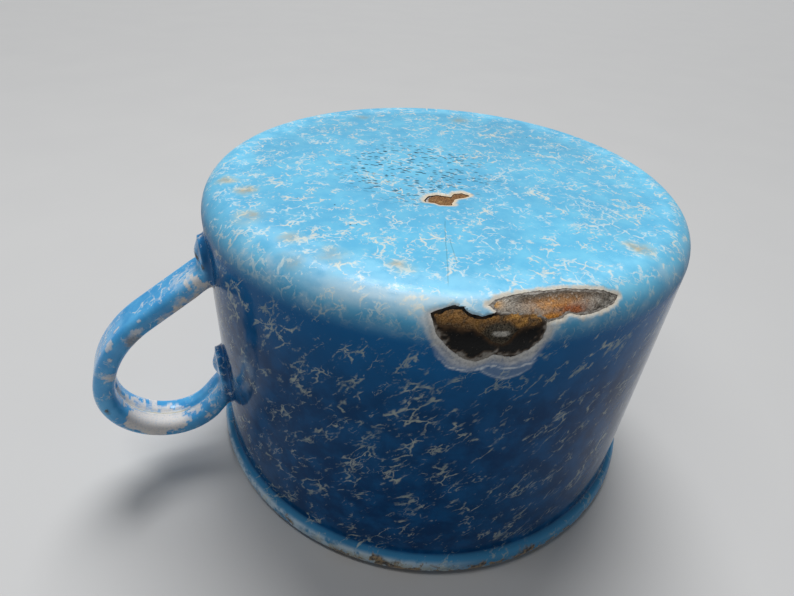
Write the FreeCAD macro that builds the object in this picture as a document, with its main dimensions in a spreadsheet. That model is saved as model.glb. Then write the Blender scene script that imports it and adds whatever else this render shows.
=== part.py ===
# Enamelled steel cup: drawn shell with a rolled rim, riveted strap handle,
# dark ground coat, blue swirl cover coat and white lining.
# Millimetres.  +Z is up with the mouth open upwards.  The origin is the centre
# of the base's underside, and the handle lies along +X.
import FreeCAD
import Part
import Sketcher
import math
import os

os.makedirs("parts", exist_ok=True)
doc = FreeCAD.newDocument("enamel_cup")
V = FreeCAD.Vector

# ---------------------------------------------------------------- dimensions
# alias, value, note
DIMENSIONS = [
    ("base_rad", 50.0, "outer radius where the wall leaves the base corner"),
    ("corner_rad", 5.77, "outer radius of the base corner"),
    ("cup_height", 65.26, "overall height"),
    ("wall_taper", 1.59, "degrees the wall leans outwards"),
    ("steel_thick", 0.6, "drawn sheet"),
    ("ground_thick", 0.15, "dark ground coat"),
    ("cover_thick", 0.25, "swirl cover coat"),
    ("lining_thick", 0.4, "white inside coat"),
    ("bead_centre", 51.72, "radius to the middle of the rolled rim"),
    ("bead_half", 1.64, "half the roll's width, over the coats"),
    ("bead_end_rad", 1.4, "end radius of the roll's oval section"),
    ("bead_side_rad", 3.06, "side radius of the roll's oval section"),
    ("curl_gap", 0.39, "gap between the curl's cut edge and the wall"),
    ("strap_wide", 8.2, "steel strap width"),
    ("strap_deep", 3.2, "steel strap depth over the rolled edges"),
    ("strap_round", 1.4, "corner radius of the rolled edges"),
    ("strap_sheet", 0.7, "strap sheet thickness"),
    ("seam_gap", 0.8, "open seam along the finger side"),
    ("seam_dip", 0.5, "how far the rolled edges dip at the seam"),
    ("seam_half", 0.9, "half the width of that dip"),
    ("leg_x", 47.5, "where the lower leg's middle line starts, inside the wall"),
    ("leg_z", 13.0, "height of that start"),
    ("leg_slope", 31.25, "degrees the lower leg rises"),
    ("leg_len", 19.41, "length of the lower leg"),
    ("ear_rad_a", 22.75, "lower part of the ear"),
    ("ear_ang_a", 45.46, "degrees it turns"),
    ("ear_rad_b", 13.16, "back of the ear"),
    ("ear_ang_b", 89.81, "degrees it turns"),
    ("ear_rad_c", 10.14, "top of the ear"),
    ("ear_ang_c", 60.37, "degrees it turns"),
    ("top_leg_len", 9.41, "length of the top leg"),
    ("hollow_in", 7.0, "how far from each end the rolled strap is pressed solid"),
    ("tab_root", 49.0, "the tabs start inside the wall and are seated on it"),
    ("low_tab_out", 51.15, "outer face of the lower tab"),
    ("top_tab_out", 52.15, "outer face of the upper tab"),
    ("low_tab_z", 8.3, "tip of the lower tab"),
    ("low_tab_top", 14.5, "the tab ends inside the strap"),
    ("top_tab_z", 36.7, "tip of the upper tab"),
    ("top_tab_top", 46.0, "upper end of the upper tab"),
    ("tab_round", 3.7, "corner radius of the tabs' tips"),
    ("rivet_low_z", 11.2, "height of the lower rivet"),
    ("rivet_top_z", 40.0, "height of the upper rivet"),
    ("rivet_shank_rad", 1.5, "shank and its hole"),
    ("rivet_head_rad", 2.4, "outer dome"),
    ("rivet_head_high", 1.0, "outer dome above the tab"),
    ("rivet_tail_rad", 2.5, "upset end inside the cup"),
    ("rivet_tail_high", 0.6, "upset end above the wall's inner face"),
]


class Size:
    """A number together with the spreadsheet expression that gives it."""

    def __init__(self, value, text=None):
        self.value = float(value)
        self.text = text or repr(self.value)

    def join(self, sign, other, work):
        if not isinstance(other, Size):
            other = Size(other)
        return Size(work(self.value, other.value), "(%s %s %s)" % (self.text, sign, other.text))

    def __add__(self, other):
        return self.join("+", other, lambda a, b: a + b)

    def __sub__(self, other):
        return self.join("-", other, lambda a, b: a - b)

    def __mul__(self, other):
        return self.join("*", other, lambda a, b: a * b)

    def __truediv__(self, other):
        return self.join("/", other, lambda a, b: a / b)

    def __neg__(self):
        return ZERO - self


ZERO = Size(0, "0")


def sqrt(size):
    return Size(math.sqrt(size.value), "sqrt(%s)" % size.text)


def cosd(size):
    return Size(math.cos(math.radians(size.value)), "cos(%s * 1 deg)" % size.text)


def sind(size):
    return Size(math.sin(math.radians(size.value)), "sin(%s * 1 deg)" % size.text)


def tand(size):
    return Size(math.tan(math.radians(size.value)), "tan(%s * 1 deg)" % size.text)


sheet = doc.addObject("Spreadsheet::Sheet", "Dims")
dim = {}
for row, (alias, number, note) in enumerate(DIMENSIONS, start=1):
    sheet.set("A%d" % row, alias)
    sheet.set("B%d" % row, str(number))
    sheet.setAlias("B%d" % row, alias)
    sheet.set("C%d" % row, note)
    dim[alias] = Size(number, "Dims." + alias)
doc.recompute()

# ------------------------------------------------------------ sketch helpers
# A path is a list of corners.  (x, y) is reached by a straight line and
# (x, y, radius, turn) by an arc that turns LEFT or RIGHT on the way.
LEFT, RIGHT = 1, -1
AXIS_LENGTH = 80.0      # construction line along a rivet


def new_body(name):
    return doc.addObject("PartDesign::Body", name)


def new_sketch(body, name, role="XZ_Plane"):
    sketch = body.newObject("Sketcher::SketchObject", name)
    origin_plane = next(f for f in body.Origin.OriginFeatures if f.Role == role)
    sketch.AttachmentSupport = [(origin_plane, "")]
    sketch.MapMode = "FlatFace"
    return sketch


def bind(sketch, kind, where, size):
    """Add a dimension and drive it from the spreadsheet."""
    index = sketch.addConstraint(Sketcher.Constraint(kind, *where, size.value))
    if "Dims" in size.text:
        sketch.setExpression("Constraints[%d]" % index, size.text)


def bind_point(sketch, edge, vertex, point):
    bind(sketch, "DistanceX", (-1, 1, edge, vertex), point[0])
    bind(sketch, "DistanceY", (-1, 1, edge, vertex), point[1])


def is_arc(step):
    return len(step) == 4


def edge_geometry(before, step):
    start = V(before[0].value, before[1].value, 0)
    end = V(step[0].value, step[1].value, 0)
    if not is_arc(step):
        return Part.LineSegment(start, end)
    radius, turn = step[2].value, step[3]
    chord = end - start
    lift = math.sqrt(max(radius ** 2 - chord.Length ** 2 / 4, 0.0))
    normal = V(-chord.y, chord.x, 0)
    normal.normalize()
    centre = (start + end) * 0.5 + normal * (lift * turn)
    angles = [math.atan2(p.y - centre.y, p.x - centre.x) for p in (start, end)]
    if turn == RIGHT:
        angles.reverse()
    return Part.ArcOfCircle(Part.Circle(centre, V(0, 0, 1), radius), *angles)


def draw(sketch, path, closed=True):
    """Draw a path and bind every corner and radius."""
    first = 0 if closed else 1
    edges = [(path[i - 1], path[i]) for i in range(first, len(path))]
    for before, step in edges:
        sketch.addGeometry(edge_geometry(before, step), False)
    # sketch arcs run anticlockwise, so a right turn has its vertices swapped
    ends = [(2, 1) if is_arc(step) and step[3] == RIGHT else (1, 2) for before, step in edges]
    for i in range(len(edges) - first):
        j = (i + 1) % len(edges)
        sketch.addConstraint(Sketcher.Constraint("Coincident", i, ends[i][1], j, ends[j][0]))
    if not closed:
        bind_point(sketch, 0, ends[0][0], path[0])
    for i, (before, step) in enumerate(edges):
        bind_point(sketch, i, ends[i][1], step)
        if is_arc(step):
            bind(sketch, "Radius", (i,), step[2])


def backwards(path):
    """The same path walked from its last corner to its first."""
    back = [path[-1][:2]]
    for i in range(len(path) - 1, 0, -1):
        step = path[i]
        bend = (step[2], -step[3]) if is_arc(step) else ()
        back.append(path[i - 1][:2] + bend)
    return back


def turned(name, path, axis_z=None):
    """Body turned about the cup's axis, or about a line along X at axis_z."""
    body = new_body(name)
    stem = name.replace("Body", "")
    sketch = new_sketch(body, stem + "Section")
    draw(sketch, path)
    axis = "V_Axis"
    if axis_z is not None:
        start, end = V(0, axis_z.value, 0), V(AXIS_LENGTH, axis_z.value, 0)
        line = sketch.addGeometry(Part.LineSegment(start, end), True)
        sketch.addConstraint(Sketcher.Constraint("Horizontal", line))
        sketch.addConstraint(Sketcher.Constraint("PointOnObject", line, 1, -2))
        bind(sketch, "DistanceY", (-1, 1, line, 1), axis_z)
        bind(sketch, "DistanceX", (line, 1, line, 2), Size(AXIS_LENGTH))
        axis = "Axis0"
    turn = body.newObject("PartDesign::Revolution", stem + "Turn")
    turn.Profile = sketch
    turn.ReferenceAxis = (sketch, [axis])
    turn.Angle = 360
    sketch.Visibility = False
    doc.recompute()
    return body


# --------------------------------------------------------- the cup's surfaces
# Every surface of the cup is the outer surface moved in by an inset.
OUTER = ZERO
GROUND = dim["cover_thick"]
STEEL = dim["ground_thick"] + dim["cover_thick"]
INNER = STEEL + dim["steel_thick"]
LINING = INNER + dim["lining_thick"]

corner_centre = dim["base_rad"] - dim["corner_rad"]
# the roll's oval: centres of its end arcs lie roll_rise above and below bead_z
roll_span = dim["bead_side_rad"] - dim["bead_end_rad"]
side_shift = dim["bead_side_rad"] - dim["bead_half"]
roll_rise = sqrt(roll_span * roll_span - side_shift * side_shift)
bead_z = dim["cup_height"] - dim["bead_end_rad"] - roll_rise
roll_low = bead_z - roll_rise


def wall_radius(z, inset):
    return dim["base_rad"] + tand(dim["wall_taper"]) * (z - dim["corner_rad"]) - inset


def base_path(inset):
    """from the axis along the base and round its corner"""
    radius = dim["corner_rad"] - inset
    taper = dim["wall_taper"]
    return [
        (ZERO, inset),
        (corner_centre, inset),
        (corner_centre + radius * cosd(taper), dim["corner_rad"] - radius * sind(taper),
         radius, LEFT),
    ]


def oval_joint(inset, x_side, z_side):
    """where the oval's side and end arcs join; the sides are +1 or -1"""
    end = dim["bead_end_rad"] - inset
    return (dim["bead_centre"] + side_shift / roll_span * end * x_side,
            bead_z + (roll_rise + roll_rise / roll_span * end) * z_side)


def roll_inside(inset):
    """point of the roll nearest the cup's axis"""
    return (dim["bead_centre"] - (dim["bead_half"] - inset), bead_z)


def underside(x, inset):
    """point at radius x on the roll's lower end arc"""
    end = dim["bead_end_rad"] - inset
    across = dim["bead_centre"] - x
    return (x, roll_low - sqrt(end * end - across * across))


def roll_arcs(inset):
    """from the roll's underside round its outside and over to its inside"""
    end, side = dim["bead_end_rad"] - inset, dim["bead_side_rad"] - inset
    return [
        oval_joint(inset, +1, -1) + (end, LEFT),
        oval_joint(inset, +1, +1) + (side, LEFT),
        oval_joint(inset, -1, +1) + (end, LEFT),
        roll_inside(inset) + (side, LEFT),
    ]


def coat_section(outer, inner):
    """closed section of a coat between two insets"""
    def surface(inset):
        groove_x = wall_radius(roll_low - (dim["bead_end_rad"] - inset), inset)
        return base_path(inset) + [underside(groove_x, inset)] + roll_arcs(inset)
    return surface(outer) + backwards(surface(inner))


def shell_section():
    """drawn steel with its rolled, open curl"""
    cut_x = wall_radius(roll_low - (dim["bead_end_rad"] - STEEL), STEEL) + dim["curl_gap"]
    return (base_path(STEEL)
            + backwards([underside(cut_x, INNER)] + roll_arcs(INNER))
            + [underside(cut_x, STEEL)] + roll_arcs(STEEL)
            + backwards(base_path(INNER)))


cover_body = turned("CoverCoatBody", coat_section(OUTER, GROUND))
ground_body = turned("GroundCoatBody", coat_section(GROUND, STEEL))
steel_body = turned("CupShellBody", shell_section())
# the lining ends where the cover coat comes over the roll
lining_body = turned("LiningBody", base_path(INNER) + [roll_inside(STEEL), roll_inside(OUTER)]
                     + backwards(base_path(LINING)))

# ----------------------------------------------------- rivet holes in the shell
HOLE_REACH = 60      # from the cup's axis out past the wall


def drill_rivet_holes(body):
    plan = new_sketch(body, "RivetHolesPlan", "YZ_Plane")
    radius = dim["rivet_shank_rad"]
    for i, height in enumerate((dim["rivet_low_z"], dim["rivet_top_z"])):
        circle = Part.Circle(V(0, height.value, 0), V(0, 0, 1), radius.value)
        plan.addGeometry(circle, False)
        plan.addConstraint(Sketcher.Constraint("PointOnObject", i, 3, -2))
        bind(plan, "DistanceY", (-1, 1, i, 3), height)
        bind(plan, "Radius", (i,), radius)
    holes = body.newObject("PartDesign::Pocket", "RivetHoles")
    holes.Profile = plan
    holes.Type = "Length"
    holes.Length = HOLE_REACH
    holes.Reversed = True      # towards +X, where the handle is
    plan.Visibility = False
    doc.recompute()


drill_rivet_holes(steel_body)

# ------------------------------------------- solids that seat the handle
SEAT_DROP = 4.0      # top of the seats below the roll's middle


def seat(name, inset):
    """everything inside one of the cup's surfaces"""
    top = bead_z - SEAT_DROP
    return turned(name, base_path(inset) + [(wall_radius(top, inset), top), (ZERO, top)])


seat_steel = seat("SeatSteel", STEEL)
seat_ground = seat("SeatGround", GROUND)

# -------------------------------------------------------------------- handle
# One strip whose edges are rolled to the finger side, bent to an ear and
# ending in two flat tabs that point to the base.
SEAM_OVERCUT = 0.5      # the seam's slot runs this far out of the strap


def bend_path(trim):
    """Middle line: a leg, three arcs that follow on smoothly and the top leg.
    trim shortens it at both ends."""
    angle = dim["leg_slope"]
    x = dim["leg_x"] + trim * cosd(angle)
    z = dim["leg_z"] + trim * sind(angle)
    path = [(x, z)]
    run = dim["leg_len"] - trim
    x, z = x + run * cosd(angle), z + run * sind(angle)
    path.append((x, z))
    for part in "abc":
        radius = dim["ear_rad_" + part]
        centre_x, centre_z = x - radius * sind(angle), z + radius * cosd(angle)
        angle = angle + dim["ear_ang_" + part]
        x, z = centre_x + radius * sind(angle), centre_z - radius * cosd(angle)
        path.append((x, z, radius, LEFT))
    run = dim["top_leg_len"] - trim
    path.append((x + run * cosd(angle), z + run * sind(angle)))
    return path


def sweep(body, stem, pipe_name, outline, trim):
    """Sweep an outline along the bend.  It is drawn square to the start of
    the bend, and its second axis points to the finger side."""
    path = bend_path(trim)
    spine = new_sketch(body, stem + "Bend")
    draw(spine, path, closed=False)
    spine.Visibility = False

    section = new_sketch(body, stem + "Section", "YZ_Plane")
    x, z = path[0]
    section.AttachmentOffset = FreeCAD.Placement(
        V(0, z.value, x.value), FreeCAD.Rotation(V(1, 0, 0), -dim["leg_slope"].value))
    section.setExpression("AttachmentOffset.Base.y", z.text)
    section.setExpression("AttachmentOffset.Base.z", x.text)
    section.setExpression("AttachmentOffset.Rotation.Angle", "0 - Dims.leg_slope")
    draw(section, outline)
    section.Visibility = False

    pipe = body.newObject("PartDesign::AdditivePipe", pipe_name)
    pipe.Profile = section
    pipe.Spine = spine
    doc.recompute()


def rounded_outline(half_wide, half_deep, radius, seam):
    """rounded rectangle with the seam's corners put into its finger side"""
    return [
        (half_wide - radius, -half_deep),
        (half_wide, radius - half_deep, radius, LEFT),
        (half_wide, half_deep - radius),
        (half_wide - radius, half_deep, radius, LEFT),
        *seam,
        (radius - half_wide, half_deep),
        (-half_wide, half_deep - radius, radius, LEFT),
        (-half_wide, radius - half_deep),
        (radius - half_wide, -half_deep, radius, LEFT),
    ]


def add_tab(body, name, end, grow):
    sketch = new_sketch(body, name, "YZ_Plane")
    sketch.AttachmentOffset = FreeCAD.Placement(
        V(0, 0, dim["tab_root"].value), FreeCAD.Rotation())
    sketch.setExpression("AttachmentOffset.Base.z", dim["tab_root"].text)
    half_wide = dim["strap_wide"] / 2 + grow
    tip = dim[end + "_tab_z"] - grow
    top = dim[end + "_tab_top"]
    radius = dim["tab_round"] + grow
    draw(sketch, [
        (-half_wide, tip + radius),
        (radius - half_wide, tip, radius, LEFT),
        (half_wide - radius, tip),
        (half_wide, tip + radius, radius, LEFT),
        (half_wide, top),
        (-half_wide, top),
    ])
    pad = body.newObject("PartDesign::Pad", name + "Pad")
    pad.Profile = sketch
    pad.Type = "Length"
    length = dim[end + "_tab_out"] - dim["tab_root"] + grow
    pad.Length = length.value
    pad.setExpression("Length", length.text)
    sketch.Visibility = False
    doc.recompute()


def handle_blank(name, grow):
    """the whole handle as a solid, grown for the coats"""
    body = new_body(name)
    half_deep = dim["strap_deep"] / 2 + grow
    dip = [
        (dim["seam_half"], half_deep),
        (ZERO, half_deep - dim["seam_dip"]),
        (-dim["seam_half"], half_deep),
    ]
    outline = rounded_outline(
        dim["strap_wide"] / 2 + grow, half_deep, dim["strap_round"] + grow, dip)
    sweep(body, name, name + "Strap", outline, ZERO)
    for end in ("low", "top"):
        add_tab(body, name + end + "Tab", end, grow)
    return body


def strap_hollow():
    """the space inside the rolled strap, open to the finger side at the seam"""
    body = new_body("StrapHollow")
    wall = dim["strap_sheet"]
    half_deep = dim["strap_deep"] / 2 - wall
    half_gap = dim["seam_gap"] / 2
    slot_top = dim["strap_deep"] / 2 + SEAM_OVERCUT
    slot = [
        (half_gap, half_deep),
        (half_gap, slot_top),
        (-half_gap, slot_top),
        (-half_gap, half_deep),
    ]
    outline = rounded_outline(
        dim["strap_wide"] / 2 - wall, half_deep, dim["strap_round"] - wall, slot)
    sweep(body, "Hollow", "HollowSweep", outline, dim["hollow_in"])
    return body


strap_full = handle_blank("StrapBlank", ZERO)
strap_mid = handle_blank("StrapGroundSize", dim["ground_thick"])
strap_big = handle_blank("StrapCoverSize", STEEL)
hollow = strap_hollow()

# -------------------------------------------------------------------- rivets
WALL_CLEAR = 0.15       # the upset end starts this far in, clear of the wall's curve
HEAD_SINK = 0.25        # the head reaches this far into the tab
TAIL_BEVEL = 0.15       # bevel on the upset end


def rivet(size_name, end, grow):
    """Dome outside the tab, shank through the wall, upset end inside.  grow
    gives the size of the coats over it."""
    z = dim["rivet_%s_z" % end]
    tab_x = dim[end + "_tab_out"]
    wall_x = wall_radius(z, INNER)
    tail_x = wall_x - dim["rivet_tail_high"] - grow
    shank = dim["rivet_shank_rad"]
    tail = dim["rivet_tail_rad"] + grow
    head = dim["rivet_head_rad"] + grow
    head_high = dim["rivet_head_high"] + grow
    dome = (head * head + head_high * head_high) / (head_high * 2)
    return turned("Rivet" + end.title() + size_name, [
        (tail_x, z),
        (tab_x + head_high, z),
        (tab_x, z + head, dome, LEFT),
        (tab_x - HEAD_SINK, z + head),
        (tab_x - HEAD_SINK, z + shank),
        (wall_x - WALL_CLEAR, z + shank),
        (wall_x - WALL_CLEAR, z + tail),
        (tail_x + TAIL_BEVEL, z + tail),
        (tail_x, z + tail - TAIL_BEVEL),
    ], axis_z=z)


def rivets(size_name, grow):
    return [rivet(size_name, end, grow) for end in ("low", "top")]


bare_rivets = rivets("Bare", ZERO)
ground_rivets = rivets("Ground", dim["ground_thick"])
cover_rivets = rivets("Cover", STEEL)


# ------------------------------------------------------ handle and its coats
def fuse(name, shapes):
    union = doc.addObject("Part::MultiFuse", name)
    union.Shapes = shapes
    doc.recompute()
    return union


def cut(name, base, tools):
    result = doc.addObject("Part::Cut", name)
    result.Base = base
    result.Tool = fuse(name + "Tools", tools)
    doc.recompute()
    return result


# steel strap: hollow, seated on the wall, drilled for the shanks
strap = cut("StrapSeated", strap_full, [seat_steel, hollow] + bare_rivets)

# the coats' outer limits over the strap and the rivet domes
ground_limit = fuse("HandleGroundLimit", [strap_mid] + ground_rivets)
cover_limit = fuse("HandleCoverLimit", [strap_big] + cover_rivets)

handle_ground = cut("HandleGround", ground_limit, [strap_full, seat_steel] + bare_rivets)
handle_cover = cut("HandleCover", cover_limit, [ground_limit, seat_ground])

# ------------------------------------------------- broken places in the coats
# The large break runs from the base's edge up the wall, at 75 degrees round
# from the handle towards -Y.  It is cut square to a plane that faces outwards
# and down at 45 degrees.
EDGE_ANGLE = -75
EDGE_PLANE_OUT = 24.0      # the plane's distance from the origin
EDGE_DEPTH = 16
SPOT_PLANE_Z = 3           # the spot's cutter starts here and goes down
SPOT_DEPTH = 6

# (across, up) in the tilted plane; the ground coat's break is the smaller one
EDGE_COVER = [
    (12.08, 34.18), (10.45, 33.51), (8.55, 33.22), (7.54, 33.55), (6.86, 34.39), (5.32, 35.01),
    (3.38, 34.24), (4.01, 33.45), (2.58, 32.50), (-0.81, 31.69), (-4.42, 31.39), (-8.12, 31.12),
    (-11.34, 31.40), (-14.41, 31.68), (-16.94, 32.58), (-15.62, 33.89), (-12.89, 34.99),
    (-9.98, 35.58), (-7.56, 35.10), (-6.86, 35.78), (-4.50, 36.26), (-3.88, 36.65),
    (-3.49, 37.86), (-1.94, 39.41), (0.51, 40.42), (2.87, 39.91), (5.38, 40.81), (6.83, 40.21),
    (8.91, 38.69), (10.72, 36.91),
]
EDGE_GROUND = [
    (10.24, 36.56), (8.52, 38.23), (6.54, 39.69), (5.37, 40.21), (2.91, 39.31), (0.56, 39.83),
    (-1.60, 38.91), (-2.98, 37.55), (-3.41, 36.29), (-4.27, 35.70), (-6.58, 35.25),
    (-7.39, 34.53), (-9.98, 34.98), (-12.72, 34.41), (-15.29, 33.39), (-16.35, 32.71),
    (-14.28, 32.26), (-11.29, 31.99), (-8.12, 31.72), (-4.47, 31.99), (-0.90, 32.28),
    (2.34, 33.05), (3.41, 33.55), (2.80, 34.40), (5.32, 35.61), (7.21, 34.88), (7.88, 34.04),
    (8.60, 33.82), (10.29, 34.08), (11.52, 34.39),
]
# (x, y) of the small break under the base
SPOT_COVER = [
    (10.93, -11.83), (9.24, -10.29), (7.06, -10.39), (5.03, -11.92), (3.90, -10.88),
    (1.88, -10.94), (0.91, -12.97), (2.62, -13.66), (4.66, -13.67), (6.08, -15.07),
    (6.00, -15.86), (7.41, -15.60), (8.89, -14.97), (9.43, -13.92), (11.01, -12.97),
]
SPOT_GROUND = [
    (10.57, -12.00), (9.11, -10.66), (7.19, -10.76), (5.02, -12.32), (3.77, -11.25),
    (2.09, -11.27), (1.28, -12.82), (2.69, -13.26), (4.82, -13.30), (6.47, -14.96),
    (6.28, -15.57), (7.28, -15.23), (8.62, -14.68), (9.14, -13.64), (10.65, -12.78),
]


def break_cutter(name, outline, placement, depth):
    sketch = doc.addObject("Sketcher::SketchObject", name + "Outline")
    sketch.Placement = placement
    count = len(outline)
    for i in range(count):
        start, end = outline[i], outline[(i + 1) % count]
        sketch.addGeometry(Part.LineSegment(V(*start, 0), V(*end, 0)), False)
    for i in range(count):
        sketch.addConstraint(Sketcher.Constraint("Coincident", i, 2, (i + 1) % count, 1))
    cutter = doc.addObject("Part::Extrusion", name)
    cutter.Base = sketch
    cutter.DirMode = "Normal"
    cutter.LengthFwd = depth
    cutter.Solid = True
    sketch.Visibility = False
    doc.recompute()
    return cutter


def edge_cutter(name, outline):
    angle = math.radians(EDGE_ANGLE)
    outwards = V(math.cos(angle), math.sin(angle), 0)
    across = V(-math.sin(angle), math.cos(angle), 0)
    rise = (outwards + V(0, 0, 1)) * (1 / math.sqrt(2))
    away = (outwards - V(0, 0, 1)) * (1 / math.sqrt(2))
    turn = FreeCAD.Rotation(across, rise, away, "ZXY")
    placement = FreeCAD.Placement(away * EDGE_PLANE_OUT, turn)
    return break_cutter(name, outline, placement, EDGE_DEPTH)


def spot_cutter(name, outline):
    """the sketch is turned over to face down, so its second axis is -Y"""
    face_down = FreeCAD.Placement(V(0, 0, SPOT_PLANE_Z), FreeCAD.Rotation(V(1, 0, 0), 180))
    return break_cutter(name, [(x, -y) for x, y in outline], face_down, SPOT_DEPTH)


cup_ground = cut("CupGround", ground_body, [
    ground_limit,
    edge_cutter("EdgeBreakGround", EDGE_GROUND),
    spot_cutter("SpotBreakGround", SPOT_GROUND),
])
cup_cover = cut("CupCover", cover_body, [
    cover_limit,
    edge_cutter("EdgeBreakCover", EDGE_COVER),
    spot_cutter("SpotBreakCover", SPOT_COVER),
])

# --------------------------------------- lining over the two upset rivet ends
CAP_THICK = 0.3        # over the upset end's face
CAP_MARGIN = 0.35      # round the upset end
CAP_FOOT = 0.2         # the cap's foot is this much wider again
CAP_FOOT_HIGH = 0.3    # height of the foot's edge above the wall
CAP_SINK = 0.05        # the cap reaches this far into the wall
CAP_SLOPE = 0.5        # the cap's face is this much narrower


def lining_cap(end):
    z = dim["rivet_%s_z" % end]
    wall_x = wall_radius(z, INNER)
    face_x = wall_x - dim["rivet_tail_high"] - CAP_THICK
    radius = dim["rivet_tail_rad"] + CAP_MARGIN
    return turned("LiningCap" + end.title(), [
        (face_x, z),
        (wall_x + CAP_SINK, z),
        (wall_x + CAP_SINK, z + radius + CAP_FOOT),
        (wall_x - CAP_FOOT_HIGH, z + radius + CAP_FOOT),
        (face_x, z + radius - CAP_SLOPE),
    ], axis_z=z)


lining_all = fuse("LiningWithCaps", [lining_body, lining_cap("low"), lining_cap("top")])
lining = cut("Lining", lining_all, [steel_body] + bare_rivets)

rivet_pair = doc.addObject("Part::Compound", "RivetPair")
rivet_pair.Links = bare_rivets

# -------------------------------------------------------------------- export
NODES = [
    (steel_body, "cup_shell"),
    (cup_ground, "cup_ground_coat"),
    (cup_cover, "cup_swirl_enamel"),
    (lining, "cup_white_lining"),
    (strap, "handle_strap"),
    (handle_ground, "handle_ground_coat"),
    (handle_cover, "handle_swirl_enamel"),
    (rivet_pair, "handle_rivets"),
]
for node, label in NODES:
    node.Label = label
doc.recompute()

for item in doc.Objects:
    bad = [state for state in item.State if state in ("Invalid", "Error")]
    if bad:
        raise RuntimeError("%s is %s" % (item.Name, bad))
for node, label in NODES:
    if node.Shape.isNull() or not node.Shape.isValid():
        raise RuntimeError("%s has a bad shape" % label)
for node, label in NODES:
    node.Shape.exportStep("parts/%s.step" % label)
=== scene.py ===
import math

import bmesh
import bpy
import numpy as np
from mathutils import Matrix, Vector


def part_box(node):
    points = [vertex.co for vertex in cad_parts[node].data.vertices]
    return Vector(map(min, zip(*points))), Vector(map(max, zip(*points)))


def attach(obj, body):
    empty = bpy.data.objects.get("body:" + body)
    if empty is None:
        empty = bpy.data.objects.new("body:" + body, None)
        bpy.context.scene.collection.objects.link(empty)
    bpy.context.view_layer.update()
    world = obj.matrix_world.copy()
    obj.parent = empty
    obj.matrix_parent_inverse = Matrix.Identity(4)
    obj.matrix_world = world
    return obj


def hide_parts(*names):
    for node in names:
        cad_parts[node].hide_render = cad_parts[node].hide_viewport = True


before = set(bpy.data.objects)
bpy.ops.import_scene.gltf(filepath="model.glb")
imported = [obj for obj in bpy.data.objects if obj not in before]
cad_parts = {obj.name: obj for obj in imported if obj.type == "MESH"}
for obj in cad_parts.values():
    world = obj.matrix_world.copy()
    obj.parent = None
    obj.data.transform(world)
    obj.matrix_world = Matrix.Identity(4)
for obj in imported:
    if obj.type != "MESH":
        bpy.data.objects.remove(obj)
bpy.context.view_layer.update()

MM = 0.001
scene = bpy.context.scene

# --------------------------------------------------------------- cup sizes
# millimetres; the CAD boxes give the height and the rim
clo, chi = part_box("cup_swirl_enamel")
TOP = chi.z / MM
RIM = (chi.y - clo.y) / 2 / MM
K = RIM / 53.36
CORNER = 5.77 * K
BASE = 50.0 * K
TAPER = math.radians(1.59)
BEAD_R = 51.72 * K
END_R, SIDE_R, HALF = 1.4, 3.06, 1.64
UP = math.sqrt((SIDE_R - END_R) ** 2 - (SIDE_R - HALF) ** 2)
BEAD_Z = TOP - END_R - UP
GROUND, COVER, SHEET, LINING = 0.15, 0.25, 0.6, 0.4


def arc(cx, cz, r, a0, a1, step=0.05):
    n = max(4, int(abs(a1 - a0) * r / step))
    t = np.linspace(a0, a1, n)
    return np.stack([cx + r * np.cos(t), cz + r * np.sin(t)], 1)


def line(x0, z0, x1, z1, step=0.25):
    n = max(2, int(math.hypot(x1 - x0, z1 - z0) / step))
    t = np.linspace(0, 1, n)[:, None]
    return np.array([[x0, z0]]) * (1 - t) + np.array([[x1, z1]]) * t


def outer_profile():
    """the cup's outer surface from the base's middle, over the rolled rim, to
    the inner side of the roll"""
    cr = BASE - CORNER
    parts = [line(0, 0, cr, 0)]
    parts.append(arc(cr, CORNER, CORNER, -math.pi / 2, -TAPER))
    end_z = BEAD_Z - UP
    fil = 0.7

    def wall(z):
        return BASE + math.tan(TAPER) * (z - CORNER)
    fx = wall(end_z - END_R) + fil
    dx = fx - BEAD_R
    fz = end_z - math.sqrt((END_R + fil) ** 2 - dx * dx)
    x0, z0 = parts[-1][-1]
    parts.append(line(x0, z0, wall(fz), fz))
    a_join = math.atan2(end_z - fz, BEAD_R - fx)
    parts.append(arc(fx, fz, fil, math.pi, a_join))
    tip = math.asin(UP / (SIDE_R - END_R))
    start = math.atan2(fz - end_z, fx - BEAD_R)
    parts.append(arc(BEAD_R, end_z, END_R, start, -tip))
    parts.append(arc(BEAD_R - (SIDE_R - HALF), BEAD_Z, SIDE_R, -tip, tip))
    parts.append(arc(BEAD_R, BEAD_Z + UP, END_R, tip, math.pi - tip))
    parts.append(arc(BEAD_R + (SIDE_R - HALF), BEAD_Z, SIDE_R, math.pi - tip, math.pi))
    return np.concatenate(parts)


class Profile:
    def __init__(self, pts):
        keep = np.concatenate([[True], np.hypot(*np.diff(pts, axis=0).T) > 1e-4])
        pts = pts[keep]
        self.s = np.concatenate([[0], np.cumsum(np.hypot(*np.diff(pts, axis=0).T))])
        self.p = pts
        t = np.gradient(pts, self.s, axis=0)
        t /= np.linalg.norm(t, axis=1)[:, None]
        self.n = np.stack([t[:, 1], -t[:, 0]], 1)
        self.total = self.s[-1]

    def at(self, s, d):
        """radius and height at run s, moved in by d"""
        r = np.interp(s, self.s, self.p[:, 0])
        z = np.interp(s, self.s, self.p[:, 1])
        nr = np.interp(s, self.s, self.n[:, 0])
        nz = np.interp(s, self.s, self.n[:, 1])
        k = np.hypot(nr, nz)
        return r - d * nr / k, z - d * nz / k


OUT = Profile(outer_profile())
S_EDGE0 = BASE - CORNER
S_WALL0 = S_EDGE0 + CORNER * (math.pi / 2 - TAPER)


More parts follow.
